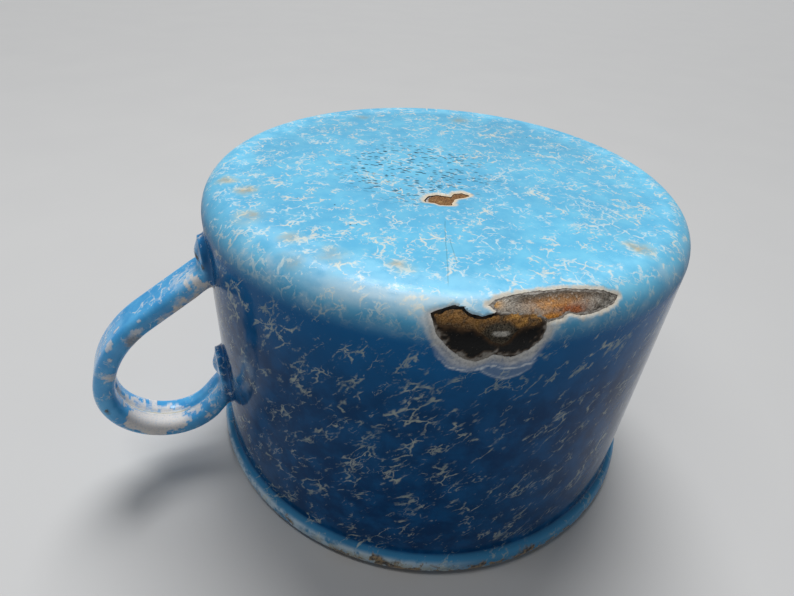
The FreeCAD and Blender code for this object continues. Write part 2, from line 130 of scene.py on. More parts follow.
def hash3(ix, iy, iz, seed):
    h = (ix * 73856093) ^ (iy * 19349663) ^ (iz * 83492791) ^ (seed * 2654435761)
    h = h & 0xFFFFFFFF
    h = ((h ^ (h >> 15)) * 2246822519) & 0xFFFFFFFF
    h = ((h ^ (h >> 13)) * 3266489917) & 0xFFFFFFFF
    return ((h ^ (h >> 16)) & 0xFFFFFF) / float(0xFFFFFF)


def noise(p, scale, seed=1):
    """value noise in -1..1 at points p (n, 2 or 3), wavelength about 1/scale"""
    p = np.asarray(p, float) * scale
    if p.shape[1] == 2:
        p = np.concatenate([p, np.zeros((len(p), 1))], 1)
    i = np.floor(p).astype(np.int64)
    f = p - i
    f = f * f * (3 - 2 * f)
    out = 0
    for dx in (0, 1):
        for dy in (0, 1):
            for dz in (0, 1):
                w = (f[:, 0] if dx else 1 - f[:, 0]) * (f[:, 1] if dy else 1 - f[:, 1]) * (f[:, 2] if dz else 1 - f[:, 2])
                out = out + w * hash3(i[:, 0] + dx + 5000, i[:, 1] + dy + 5000, i[:, 2] + dz + 5000, seed)
    return out * 2 - 1


def fractal(p, scale, seed=1, octaves=3):
    total, amp, norm = 0, 1.0, 0
    for k in range(octaves):
        total = total + amp * noise(p, scale * 2 ** k, seed + 17 * k)
        norm += amp
        amp *= 0.55
    return total / norm


def polygon_distance(q, poly):
    """signed distance of points q to a closed polygon, negative inside"""
    poly = np.asarray(poly, float)
    a, b = poly, np.roll(poly, -1, 0)
    best = np.full(len(q), 1e9)
    inside = np.zeros(len(q), bool)
    for p0, p1 in zip(a, b):
        d = p1 - p0
        t = np.clip(((q - p0) @ d) / (d @ d), 0, 1)
        c = q - (p0 + t[:, None] * d)
        best = np.minimum(best, np.hypot(c[:, 0], c[:, 1]))
        cross = (p0[1] > q[:, 1]) != (p1[1] > q[:, 1])
        with np.errstate(divide="ignore", invalid="ignore"):
            x = p0[0] + (q[:, 1] - p0[1]) * d[0] / (d[1] if abs(d[1]) > 1e-12 else 1e-12)
        inside ^= cross & (q[:, 0] < x)
    return np.where(inside, -best, best)


# ------------------------------------------------------ broken places
# outlines as (degrees round from the handle, run along the section in mm)
BREAK_WALL = [(-60.5, 48.68), (-62.3, 47.73), (-64.5, 47.16), (-65.8, 47.37), (-66.8, 48.15), (-68.7, 48.62),
              (-71.2, 48.06), (-73.8, 47.82), (-77.9, 48.0), (-79.6, 48.9), (-80.0, 50.6), (-79.4, 52.3),
              (-77.6, 54.1), (-74.6, 55.45), (-71.7, 54.75), (-69.0, 56.15), (-66.9, 55.75), (-64.2, 54.1), (-61.9, 52.0)]
HALO_WALL = [(-57.8, 49.5), (-59.3, 48.1), (-61.6, 47.3), (-64.5, 46.95), (-66.7, 47.8), (-68.7, 48.4),
             (-71.3, 47.8), (-74.1, 47.6), (-78.3, 47.75), (-81.2, 48.7), (-82.6, 50.4), (-81.2, 52.4),
             (-79.6, 54.8), (-78.3, 56.7), (-74.4, 57.5), (-71.2, 56.6), (-69.7, 57.3), (-67.5, 57.8), (-64.3, 57.2),
             (-61.9, 54.8), (-59.8, 52.0)]
BREAK_EDGE = [(-70.1, 46.95), (-71.8, 45.84), (-76.0, 44.79), (-80.7, 44.61), (-85.5, 44.74), (-89.4, 45.67),
              (-93.0, 46.66), (-95.7, 48.18), (-93.8, 49.12), (-90.3, 49.62), (-86.8, 49.72), (-84.0, 48.92),
              (-83.1, 49.54), (-80.3, 49.82), (-78.9, 49.01), (-75.5, 48.67), (-72.4, 48.31), (-70.9, 47.73)]
BREAK_BASE = [(10.66, -11.96), (9.14, -10.57), (7.16, -10.67), (5.02, -12.22), (3.8, -11.16), (2.04, -11.19),
              (1.19, -12.86), (2.67, -13.36), (4.78, -13.39), (6.37, -14.99), (6.21, -15.64), (7.31, -15.32),
              (8.69, -14.75), (9.21, -13.71), (10.74, -12.83)]
CRESCENT = [(-69.4, 57.2), (-70.1, 57.9), (-72.0, 58.8), (-74.2, 59.4), (-76.5, 58.8), (-78.6, 57.5), (-79.6, 56.0), (-75.0, 56.5)]
MID = math.radians(-75.0)
ARC_R = 48.6


def chart(s, th):
    """flat coordinates near the base's edge: millimetres round, millimetres up"""
    d = (th - MID + math.pi) % (2 * math.pi) - math.pi
    return np.stack([d * ARC_R, s], 1)


def as_chart(poly):
    return [((math.radians(a) - MID) * ARC_R, s) for a, s in poly]


P_WALL, P_HALO, P_EDGE = as_chart(BREAK_WALL), as_chart(HALO_WALL), as_chart(BREAK_EDGE)


def flat_xy(s, th):
    r, _ = OUT.at(s, 0)
    return np.stack([r * np.cos(th), r * np.sin(th)], 1)


def break_fields(s, th):
    """signed distances, positive on sound enamel, for the three broken places
    and for the outer limit of the bruised band round the wall's"""
    q = chart(s, th)
    far = np.abs(q[:, 0]) > 30
    w = polygon_distance(q, P_WALL)
    h = polygon_distance(q, P_HALO)
    e = polygon_distance(q, P_EDGE)
    xy = flat_xy(s, th)
    b = polygon_distance(xy, BREAK_BASE)
    b = np.where(s > 40, 50.0, b)
    for arr in (w, h, e):
        arr[far] = 50.0
    rough = 0.20 * fractal(q, 1.3, 3) + 0.08 * noise(q, 4.0, 9)
    rough_b = 0.16 * fractal(xy, 0.8, 5)
    return w + rough, e + rough, b + rough_b, h + 1.3 * rough


def smooth(x, a, b):
    t = np.clip((x - a) / (b - a), 0, 1)
    return t * t * (3 - 2 * t)


def rows_for(total, spans):
    out = [spans[0][0]]
    for a, b, step in spans:
        b = min(b, total)
        n = max(1, int(round((b - a) / step)))
        out.extend(list(np.linspace(a, b, n + 1)[1:]))
    return np.array(out)


def columns_for(spans):
    out = []
    for a, b, step in spans:
        n = max(1, int(round((b - a) / step)))
        out.extend(list(np.linspace(a, b, n + 1)[:-1]))
    return np.radians(np.array(out))


FINE = (-100.0, -54.0)
COLS = columns_for([FINE + (0.33,), (FINE[1], 260.0, 1.9)])
ROWS = rows_for(OUT.total, [(0.6, 8, 2.0), (8, 19.5, 0.42), (19.5, 41.5, 2.0), (41.5, 60.5, 0.29), (60.5, OUT.total - 12.2, 2.6),
                            (OUT.total - 12.2, OUT.total, 0.34)])


def clipped(rows, cols, field):
    """grid over the section's run and the turn, cut along field = 0.  Returns
    s, theta, field values and faces; the kept side is positive"""
    ns, nt = len(rows), len(cols)
    S = np.repeat(rows, nt)
    T = np.tile(cols, ns)
    F = field(S, T)
    F = np.where(np.abs(F) < 1e-6, 1e-6, F)
    idx = np.arange(ns * nt).reshape(ns, nt)
    a = idx[:-1, :]
    b = idx[1:, :]
    c = np.roll(idx, -1, 1)[1:, :]
    d = np.roll(idx, -1, 1)[:-1, :]
    quads = np.stack([a, b, c, d], -1).reshape(-1, 4)
    pos = F[quads] > 0
    full = pos.all(1)
    mixed = pos.any(1) & ~full
    faces = [tuple(x) for x in quads[full].tolist()]
    s_new, t_new, f_new = [], [], []
    made = {}

    def cut(i, j):
        key = (i, j) if i < j else (j, i)
        if key not in made:
            t = F[i] / (F[i] - F[j])
            dt = (T[j] - T[i] + math.pi) % (2 * math.pi) - math.pi
            s_new.append(S[i] + t * (S[j] - S[i]))
            t_new.append(T[i] + t * dt)
            f_new.append(0.0)
            made[key] = len(S) + len(s_new) - 1
        return made[key]
    for q in quads[mixed].tolist():
        for tri in ((q[0], q[1], q[2]), (q[0], q[2], q[3])):
            out = []
            for k in range(3):
                i, j = tri[k], tri[(k + 1) % 3]
                if F[i] > 0:
                    out.append(i)
                if (F[i] > 0) != (F[j] > 0):
                    out.append(cut(i, j))
            if len(out) >= 3:
                faces.append(tuple(out))
    S = np.concatenate([S, s_new])
    T = np.concatenate([T, t_new])
    F = np.concatenate([F, f_new])
    return S, T, F, faces


def mesh_object(name, verts, faces, colour=None, sharp=35.0):
    me = bpy.data.meshes.new(name)
    me.from_pydata([tuple(v) for v in verts], [], faces)
    if colour is not None:
        at = me.attributes.new("wear", "FLOAT_COLOR", "POINT")
        at.data.foreach_set("color", np.asarray(colour, np.float32).ravel())
    me.validate()
    bm = bmesh.new()
    bm.from_mesh(me)
    loose = [v for v in bm.verts if not v.link_faces]
    bmesh.ops.delete(bm, geom=loose, context="VERTS")
    bmesh.ops.dissolve_degenerate(bm, dist=1e-7, edges=bm.edges[:])
    bmesh.ops.recalc_face_normals(bm, faces=bm.faces[:])
    bm.to_mesh(me)
    bm.free()
    me.polygons.foreach_set("use_smooth", [True] * len(me.polygons))
    me.update()
    if sharp:
        me.set_sharp_from_angle(angle=math.radians(sharp))
    o = bpy.data.objects.new(name, me)
    scene.collection.objects.link(o)
    return o


def shell_piece(name, profile, rows, cols, field, d_out, d_in, colour=None, pole=True):
    """closed coat: outer surface at depth d_out(s, th, f), inner at d_in"""
    S, T, F, faces = clipped(rows, cols, field)
    n = len(S)
    do = d_out(S, T, F)
    di = d_in(S, T, F)
    verts = []
    for d in (do, di):
        r, z = profile.at(S, d)
        verts.append(np.stack([r * np.cos(T), r * np.sin(T), z], 1))
    verts = np.concatenate(verts) * MM
    allf = list(faces)
    allf += [tuple(n + i for i in reversed(f)) for f in faces]
    count = {}
    for f in faces:
        m = len(f)
        for k in range(m):
            e = (f[k], f[(k + 1) % m])
            key = (min(e), max(e))
            count[key] = None if key in count else e
    first = set(range(len(cols)))
    for key, e in count.items():
        if e is None:
            continue
        if pole and e[0] in first and e[1] in first:
            continue
        allf.append((e[1], e[0], n + e[0], n + e[1]))
    if pole:
        ro, zo = profile.at(np.array([0.0]), do[:1] * 0 + do[0])
        ri, zi = profile.at(np.array([0.0]), di[:1] * 0 + di[0])
        verts = np.concatenate([verts, [[0, 0, zo[0] * MM]], [[0, 0, zi[0] * MM]]])
        po, pi_ = 2 * n, 2 * n + 1
        m = len(cols)
        for j in range(m):
            k = (j + 1) % m
            allf.append((po, j, k))
            allf.append((pi_, n + k, n + j))
    col = None
    if colour is not None:
        c = colour(S, T, F)
        col = np.concatenate([c, c] + ([c[:1], c[:1]] if pole else []))
    return mesh_object(name, verts, allf, col)


# ------------------------------------------------- cover enamel, outside
def cover_field(s, th):
    w, e, b, _ = break_fields(s, th)
    return np.minimum(np.minimum(w, e), b)


def bruise(s, th):
    """0..1 depth of the broken slope round each opening and its tint"""
    w, e, b, h = break_fields(s, th)
    q = chart(s, th)
    # wall: a wide, stepped slope out to the halo's limit
    t_w = np.clip(w / np.maximum(w - h, 1e-6), 0, 1)
    t_w = np.where(h < 0, t_w, 1.0)
    steps = 0.5 + 0.5 * np.sin(6.5 * np.maximum(w, 0) + 2.2 * fractal(q, 0.35, 21))
    slope_w = np.where(w > 0, (1 - t_w) ** 1.1, 1.0)
    slope_w = slope_w * (0.86 + 0.14 * steps)
    width_e = 0.62 + 0.3 * fractal(q, 0.5, 31)
    slope_e = 1 - smooth(e, 0.0, width_e)
    width_b = 0.8 + 0.2 * fractal(flat_xy(s, th), 0.5, 33)
    slope_b = 1 - smooth(b, 0.0, width_b)
    return slope_w, slope_e, slope_b, steps, w, e, b, h


def cover_depth(s, th, f):
    sw, se, sb, *_ = bruise(s, th)
    slope = np.maximum(np.maximum(sw * 0.95, se * 0.9), sb * 0.9)
    d = slope * (COVER - 0.02)
    # slow thickness change of the fired coat, kept off the very rim
    pts = np.stack([OUT.at(s, 0)[0] * np.cos(th), OUT.at(s, 0)[0] * np.sin(th), OUT.at(s, 0)[1]], 1)
    return d + 0.012 * (1 + fractal(pts, 0.10, 41, 2))


def cover_tint(s, th, f):
    sw, se, sb, steps, w, e, b, h = bruise(s, th)
    q = chart(s, th)
    n = len(s)
    col = np.zeros((n, 4))
    grey = np.array([0.30, 0.29, 0.27])
    pale = np.array([0.72, 0.71, 0.68])
    cream = np.array([0.66, 0.60, 0.49])
    tan = np.array([0.58, 0.38, 0.15])
    grain = 0.5 + 0.5 * fractal(q, 1.1, 51)
    low = smooth(s, 53.5, 56.0)
    streak = np.clip(0.26 + 0.32 * steps + 0.45 * (grain - 0.5) + 0.3 * smooth(w, 0.3, 1.6) + 0.55 * low * (1 - smooth(np.abs(h + 0.35), 0.1, 0.5)), 0, 1)[:, None]
    c_w = grey * (1 - streak) + pale * streak
    a_w = np.where((h < 0.25) & (w > -0.6), 1 - smooth(h, -0.85, 0.2), 0) * np.clip(0.40 + 0.75 * sw + 0.35 * (grain - 0.5), 0, 1)
    g = grain[:, None]
    c_e = cream * (1 - 0.25 * g) + grey * 0.25 * g
    a_e = np.clip(1 - smooth(e + 0.35 * fractal(q, 0.8, 35), 0.22, 0.85), 0, 1) * (e > -1)
    c_b = cream * g + tan * (1 - g)
    a_b = np.clip(1 - smooth(b, 0.2, 1.2), 0, 1) * (b > -1)
    for c, a in ((c_w, a_w), (c_b, a_b), (c_e, a_e)):
        a = a[:, None]
        col[:, :3] = col[:, :3] * (1 - a) + c * a
        col[:, 3:] = np.maximum(col[:, 3:], a)
    # thin white crescents where the blow just lifted the coat
    cr = polygon_distance(q, as_chart(CRESCENT)) + 0.12 * fractal(q, 0.6, 57)
    gap = 0.45 + 0.55 * smooth(fractal(q, 0.5, 59), -0.5, 0.2)
    arc1 = np.exp(-((h - 0.02) / 0.17) ** 2) * smooth(s, 54.5, 56.0) * gap * 0.9
    arc2 = np.exp(-(cr / 0.17) ** 2) * smooth(s, 57.2, 57.9) * gap * 0.5 * (h > 0.1)
    fill = (1 - smooth(cr, -0.15, 0.1)) * (h > -0.1) * 0.16
    c_l = np.array([0.72, 0.76, 0.78])
    for a in (arc1, arc2, fill):
        a = np.clip(a, 0, 1)[:, None]
        col[:, :3] = col[:, :3] * (1 - a) + c_l * a
        col[:, 3:] = np.maximum(col[:, 3:], a)
    # undo the premultiplied darkening where the amount is partial
    k = np.maximum(col[:, 3:], 1e-3)
    col[:, :3] = np.clip(col[:, :3] / k, 0, 1)
    return col


cover = shell_piece("cup_swirl_enamel_skin", OUT, ROWS, COLS, cover_field, cover_depth,
                    lambda s, th, f: np.full(len(s), COVER), cover_tint)

# -------------------------------------------------------- ground coat
G_COLS = columns_for([FINE + (0.36,), (FINE[1], 260.0, 3.0)])
G_ROWS = rows_for(OUT.total, [(0.8, 8, 3.5), (8, 19.5, 0.45), (19.5, 41.5, 4.0), (41.5, 59, 0.32), (59, OUT.total - 12.2, 8.0),
                              (OUT.total - 12.2, OUT.total - 0.01, 0.6)])


def ground_field(s, th):
    """positive where the dark coat is left"""
    w, e, b, _ = break_fields(s, th)
    q = chart(s, th)
    n1 = fractal(q, 0.55, 61)
    line_s = 50.95 + 0.75 * n1 - 0.024 * (q[:, 0] - 4) ** 2 + 1.9 * np.exp(-((q[:, 0] - 2.3) / 1.8) ** 2)
    bare_w = np.maximum(w + 0.45 + 0.25 * n1, (s - line_s) * 0.9)
    bare_e = e + 0.42 + 0.2 * n1
    bare_b = b + 0.22
    return np.minimum(np.minimum(bare_w, bare_e), bare_b)


def ground_depth(s, th, f):
    q = chart(s, th)
    return COVER + 0.02 + (GROUND - 0.04) * (1 - smooth(f, 0.0, 0.35)) + 0.02 * fractal(q, 1.4, 71)


def ground_tint(s, th, f):
    q = chart(s, th)
    w, e, b, h = break_fields(s, th)
    n1 = fractal(q, 0.9, 73)
    n2 = noise(q, 3.2, 75)
    col = np.zeros((len(s), 4))
    # rusty staining where the coat thins out, ash grey on the edge break
    rust = np.array([0.16, 0.085, 0.035])
    ash = np.array([0.44, 0.42, 0.38])
    a_r = np.clip((1 - smooth(f, 0.0, 0.9 + 0.7 * n1)) * 0.62, 0, 1) * np.where(w < e, smooth(s, 48.8, 50.4) * 0.6 + 0.3 * smooth(noise(q, 1.6, 77), 0.1, 0.6), 1.0)
    a_e = np.clip(1 - smooth(e, -0.2, 0.5), 0, 1) * (0.75 + 0.25 * n2)
    col[:, :3] = rust
    col[:, 3] = a_r
    k = a_e[:, None]
    col[:, :3] = col[:, :3] * (1 - k) + ash * k
    col[:, 3] = np.maximum(col[:, 3], a_e)
    depth_in = np.maximum(-w, 0)
    speck = 0.7 * noise(q, 1.9, 79) + 0.6 * noise(q, 0.8, 78)
    a_g = smooth(speck, -0.75 + 0.95 * depth_in, 0.05 + 0.95 * depth_in) * (w > -1.7) * smooth(s, 49.3, 50.8) * 0.85
    k = a_g[:, None]
    col[:, :3] = col[:, :3] * (1 - k) + ash * 0.8 * k
    col[:, 3] = np.maximum(col[:, 3], a_g)
    return col


ground = shell_piece("cup_ground_coat_skin", OUT, G_ROWS, G_COLS, ground_field, ground_depth,
                     lambda s, th, f: np.full(len(s), COVER + GROUND), ground_tint)

# ------------------------------------------ rust crust on the bare steel
R_COLS = columns_for([FINE + (0.30,), (FINE[1], 260.0, 9.0)])
R_ROWS = rows_for(58.0, [(8, 19.5, 0.35), (19.5, 41.5, 6.0), (41.5, 58, 0.26)])


def rust_field(s, th):
    return -(ground_field(s, th) - 0.3)


def rust_depth(s, th, f):
    q = chart(s, th)
    lump = 0.5 + 0.5 * fractal(q, 1.6, 81, 4)
    pit = 0.5 + 0.5 * noise(q, 3.6, 83)
    # one blister of fused enamel left standing in the wall's break
    dx = (q[:, 0] - (math.radians(-72.3) - MID) * ARC_R) / 1.9
    dy = (s - 51.0) / 0.95
    blister = np.clip(1 - dx * dx - dy * dy, 0, 1) ** 0.7
    return COVER + GROUND - 0.01 - 0.07 * lump - 0.03 * pit - 0.22 * blister + 0.1 * (1 - smooth(f, 0, 0.25))


def rust_tint(s, th, f):
    q = chart(s, th)
    w, e, b, _ = break_fields(s, th)
    n = len(s)
    deg = np.degrees(q[:, 0] / ARC_R) - 75
    n1, n2, n3 = fractal(q, 0.55, 91), fractal(q, 1.7, 93), noise(q, 4.2, 95)
    dark = np.array([0.050, 0.036, 0.026])
    brown = np.array([0.230, 0.100, 0.020])
    ochre = np.array([0.62, 0.30, 0.055])
    ash = np.array([0.42, 0.40, 0.36])
    slate = np.array([0.045, 0.045, 0.048])
    orange = np.array([0.80, 0.30, 0.030])
    red = np.array([0.42, 0.10, 0.025])
    salt = np.array([0.62, 0.60, 0.55])

    def mix(c, t, k):
        k = np.clip(k, 0, 1)[:, None]
        return c * (1 - k) + t * k
    # wall break: brown rust above, darker towards the coat below
    c = np.tile(dark, (n, 1))
    c = mix(c, brown, smooth(51.2 + 1.0 * n1 - s, -0.6, 2.0))
    c = mix(c, ochre, smooth(n2, -0.15, 0.5) * smooth(51.2 - s, 0, 1.6) * 0.9 * (0.25 + 0.75 * (1 - smooth(deg, -73, -67))))
    c = mix(c, dark, smooth(-n2, 0.1, 0.6) * 0.8)
    # painted shadow: a dark line along the break's edge on the base's side, under the edge of the enamel
    c = mix(c, dark, smooth(-w, 0.34, 0.0) * smooth(49.4 - s, 0, 0.6) * 0.8)
    dx = (q[:, 0] - (math.radians(-72.3) - MID) * ARC_R)
    dy = s - 51.0
    ring = (dx / 2.6) ** 2 + (dy / 1.5) ** 2
    c = mix(c, np.array([0.02, 0.02, 0.02]), 1 - smooth(ring, 0.6, 1.3))
    glint = ((dx - 0.1) / 1.35) ** 2 + ((dy - 0.15) / 0.45) ** 2
    c = mix(c, salt * 0.95, 1 - smooth(glint, 0.5, 1.2))
    # edge break: ash grey, darker on the base side, orange in the middle
    ce = np.tile(ash, (n, 1))
    ce = mix(ce, salt * 0.9, smooth(deg, -77, -72) * 0.45 * (1 - smooth(s, 46.8, 48.0)))
    ce = mix(ce, slate, smooth(0.6 * n3 + 0.9 * n2 + 0.5 * n1, 0.0, 0.6) * 0.9)
    band = smooth(46.95 + 0.35 * n1 + 0.018 * np.maximum(-80 - deg, 0) ** 1.3 - s, -0.35, 0.5) * smooth(-deg, 73, 77)
    ce = mix(ce, slate, band * 0.95)
    ce = mix(ce, slate, smooth(-deg, 87.5, 91.5) * smooth(n2 + 0.8 * n1, -0.5, 0.3) * 0.8)
    mid = np.exp(-((deg + 82.5) / 5.0) ** 2 - ((s - 47.3) / 1.15) ** 2)
    ce = mix(ce, ochre * np.array([1.25, 1.05, 0.9]), mid * (0.85 + 0.5 * n2))
    hot = np.exp(-((deg + 85.3) / 2.7) ** 2 - ((s - 48.5) / 0.9) ** 2)
    ce = mix(ce, red, hot * (1.2 + 0.6 * n2))
    ledge = np.exp(-((deg + 81.0) / 2.6) ** 2 - ((s - 49.1) / 0.55) ** 2)
    ce = mix(ce, orange, ledge * 1.15)
    tip = np.exp(-((deg + 71.2) / 1.5) ** 2 - ((s - 46.7) / 0.8) ** 2)
    ce = mix(ce, ochre * 1.25, tip * 0.9)
    ce = mix(ce, salt, smooth(n3, 0.45, 0.9) * 0.5)
    ce = mix(ce, dark, smooth(n3, -0.55, -0.95) * 0.8)
    pick = smooth(w - e, -0.15, 0.25)
    c = c * (1 - pick[:, None]) + ce * pick[:, None]
    # base break: brown with tan ends
    xy = flat_xy(s, th)
    cb = np.tile(np.array([0.26, 0.110, 0.032]), (n, 1))
    m1 = fractal(xy, 0.9, 97)
    cb = mix(cb, np.array([0.46, 0.27, 0.10]), smooth(m1, 0.05, 0.6) * 0.7)
    cb = mix(cb, dark, smooth(-m1, 0.3, 0.8) * 0.6)
    isb = (s < 30)[:, None]
    c = np.where(isb, cb, c)
    return np.concatenate([c, np.ones((n, 1))], 1)


rust = shell_piece("cup_rust_crust", OUT, R_ROWS, R_COLS, rust_field, rust_depth,
                   lambda s, th, f: np.full(len(s), COVER + GROUND + 0.08), rust_tint, pole=False)

# ----------------------------------------------------- white lining
IN_D = COVER + GROUND + SHEET


def lining_profile():
    cr = BASE - CORNER
    d = IN_D + LINING
    pts = [line(0, d, cr, d)]
    pts.append(arc(cr, CORNER, CORNER - d, -math.pi / 2, -TAPER))
    x0, z0 = pts[-1][-1]
    pts.append(line(x0, z0, BEAD_R - HALF, BEAD_Z))
    return np.concatenate(pts)


LIN = Profile(lining_profile())
rlo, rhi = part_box("handle_rivets")
RIV_LOW, RIV_TOP = rlo.z / MM + 2.7, rhi.z / MM - 2.7
L_COLS = columns_for([(-5.0, 5.0, 0.5), (5.0, 355.0, 2.5)])
zs_run = LIN.total - (BEAD_Z - np.array([RIV_LOW, RIV_TOP]))
L_ROWS = rows_for(LIN.total, [(0.8, 40, 3.0), (40, 49, 0.5), (49, zs_run[0] - 4, 1.5), (zs_run[0] - 4, zs_run[0] + 4, 0.4),
                              (zs_run[0] + 4, zs_run[1] - 4, 2.5), (zs_run[1] - 4, zs_run[1] + 4, 0.4), (zs_run[1] + 4, LIN.total, 1.5)])


def lining_depth(s, th, f):
    """negative depth stands into the cup"""
    out = np.zeros(len(s))
    r, z = LIN.at(s, 0)
    y = r * np.sin(th)
    side = np.cos(th) > 0
    for zc in (RIV_LOW, RIV_TOP):
        rho = np.hypot(y, z - zc)
        out = np.where(side, np.maximum(out, 0.62 * (1 - smooth(rho, 2.0, 3.4))), out)
    pts = np.stack([r * np.cos(th), r * np.sin(th), z], 1)
    return out + 0.015 * fractal(pts, 0.12, 45, 2) * (s < LIN.total - 0.5)


def lining_tint(s, th, f):
    r, z = LIN.at(s, 0)
    pts = np.stack([r * np.cos(th), r * np.sin(th), z], 1)
    n = len(s)
    col = np.zeros((n, 4))
    col[:, :3] = np.array([0.50, 0.40, 0.26])
    ringl = np.exp(-((s - (S_EDGE0 + 1.5)) / 2.2) ** 2) * 0.28 * (0.5 + 0.5 * fractal(pts, 0.09, 55))
    col[:, 3] = np.clip(ringl, 0, 1)
    return col


# the visible side faces the axis, so depths count the other way
lining = shell_piece("cup_white_lining_skin", LIN, L_ROWS, L_COLS, lambda s, th: np.ones(len(s)),
                     lining_depth, lambda s, th, f: np.full(len(s), -LINING), lining_tint)

# ---------------------------------------------------------- handle coat
# the CAD's handle pieces, taken together, remeshed and eased so that the
# fired coat flows over strap, tabs and rivet heads
bend = [("line", 19.41), ("arc", 22.75, 45.46), ("arc", 13.16, 89.81), ("arc", 10.14, 60.37), ("line", 9.41)]


def bend_points(step=0.25):
    x, z, a = 47.5, 13.0, math.radians(31.25)
    out, run = [(x, z, a, 0.0)], 0.0
    for b in bend:
        length = b[1] if b[0] == "line" else b[1] * math.radians(b[2])
        n = int(length / step)
        for k in range(1, n + 1):
            t = length * k / n
            if b[0] == "line":
                px, pz, pa = x + t * math.cos(a), z + t * math.sin(a), a
            else:
                cx, cz = x - b[1] * math.sin(a), z + b[1] * math.cos(a)
                pa = a + t / b[1]
                px, pz = cx + b[1] * math.sin(pa), cz - b[1] * math.cos(pa)
            out.append((px, pz, pa, run + t))
        x, z, a, run = out[-1]
    return np.array(out)


BEND = bend_points()


def joined_copy(name, nodes):
    bm = bmesh.new()
    for nname in nodes:
        bm.from_mesh(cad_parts[nname].data)
    bmesh.ops.remove_doubles(bm, verts=bm.verts[:], dist=1e-6)
    me = bpy.data.meshes.new(name)
    bm.to_mesh(me)
    bm.free()
    o = bpy.data.objects.new(name, me)
    scene.collection.objects.link(o)
    return o


def applied(o):
    dg = bpy.context.evaluated_depsgraph_get()
    dg.update()
    me = bpy.data.meshes.new_from_object(o.evaluated_get(dg))
    o.modifiers.clear()
    old = o.data
    o.data = me
    bpy.data.meshes.remove(old)


def keep_largest(me):
    bm = bmesh.new()
    bm.from_mesh(me)
    bm.verts.ensure_lookup_table()
    seen = np.zeros(len(bm.verts), bool)
    groups = []
    for v in bm.verts:
        if seen[v.index]:
            continue
        stack, g = [v], []
        seen[v.index] = True
        while stack:
            a = stack.pop()
            g.append(a)
            for e in a.link_edges:
                b = e.other_vert(a)
                if not seen[b.index]:
                    seen[b.index] = True
                    stack.append(b)
        groups.append(g)
    groups.sort(key=len, reverse=True)
    for g in groups[1:]:
        bmesh.ops.delete(bm, geom=g, context="VERTS")
    bm.to_mesh(me)
    bm.free()
    return len(groups)


handle = joined_copy("handle_swirl_enamel_skin", ["handle_swirl_enamel", "handle_ground_coat", "handle_strap", "handle_rivets"])


def add_bed(o, s0, s1, half_deg, top, bottom):
    """a bed sunk just under the wall's surface, so that the coat can run out
    from the joint into the wall"""
    ss = np.linspace(s0, s1, int((s1 - s0) / 0.5) + 1)
    tt = np.radians(np.linspace(-half_deg, half_deg, 41))
    ns, nt = len(ss), len(tt)
    S, T = np.repeat(ss, nt), np.tile(tt, ns)
    rim = np.minimum(np.minimum(S - s0, s1 - S), (math.radians(half_deg) - np.abs(T)) * 50.0)
    sink = top + 0.25 * (1 - smooth(rim, 0.0, 1.8))
    vs = []
    for d in (sink, np.full(len(S), bottom)):
        r, z = OUT.at(S, d)
        vs.append(np.stack([r * np.cos(T), r * np.sin(T), z], 1))
    vs = np.concatenate(vs) * MM
    n = ns * nt
    fs = []
    for i in range(ns - 1):
        for j in range(nt - 1):
            a, b, c, d = i * nt + j, i * nt + j + 1, (i + 1) * nt + j + 1, (i + 1) * nt + j
            fs.append((a, b, c, d))
            fs.append((n + d, n + c, n + b, n + a))
    loop = [j for j in range(nt)] + [i * nt + nt - 1 for i in range(1, ns)] + [(ns - 1) * nt + j for j in range(nt - 2, -1, -1)] + [i * nt for i in range(ns - 2, 0, -1)]
    for k, a in enumerate(loop):
        b = loop[(k + 1) % len(loop)]
        fs.append((b, a, n + a, n + b))
    bm = bmesh.new()
    bm.from_mesh(o.data)
    new = [bm.verts.new(tuple(v)) for v in vs]
    made = [bm.faces.new([new[i] for i in f]) for f in fs]
    bmesh.ops.recalc_face_normals(bm, faces=made)
    bm.to_mesh(o.data)
    bm.free()


add_bed(handle, 50.5, 67.5, 11.0, 0.13, 0.95)
add_bed(handle, S_WALL0 + 29.0 - CORNER, S_WALL0 + 52.0 - CORNER, 11.0, 0.13, 0.95)
m = handle.modifiers.new("solid", "REMESH")
m.mode = "VOXEL"
m.voxel_size = 0.00027
applied(handle)
keep_largest(handle.data)


def ease(o, rounds, factor=0.5, weight=None):
    me = o.data
    n = len(me.vertices)
    co = np.zeros(n * 3)
    me.vertices.foreach_get("co", co)
    co = co.reshape(-1, 3)
    e = np.zeros(len(me.edges) * 2, np.int64)
    me.edges.foreach_get("vertices", e)
    e = e.reshape(-1, 2)
    deg = np.bincount(e.ravel(), minlength=n).astype(float)[:, None]

    def lap(c):
        s = np.zeros_like(c)
        for k in range(3):
            s[:, k] = np.bincount(e[:, 0], weights=c[e[:, 1], k], minlength=n) + np.bincount(e[:, 1], weights=c[e[:, 0], k], minlength=n)
        return s / np.maximum(deg, 1) - c
    if weight is None:
        for _ in range(rounds):
            co = co + factor * lap(co)
            co = co - (factor + 0.03) * lap(co) * 0.62
    else:
        w = weight[:, None]
        start = co.copy()
        nrm = np.zeros(n * 3)
        me.vertices.foreach_get("normal", nrm)
        nrm = nrm.reshape(-1, 3)
        for k in range(rounds):
            co = co + 0.4 * w * lap(co)
            if k % 4 == 3 or k == rounds - 1:
                # the coat may be eased by no more than part of its thickness
                d = ((co - start) * nrm).sum(1)
                co = co + nrm * np.where(d < -0.00013, -0.00013 - d, 0)[:, None]
    me.vertices.foreach_set("co", co.ravel())
    me.update()
    return co


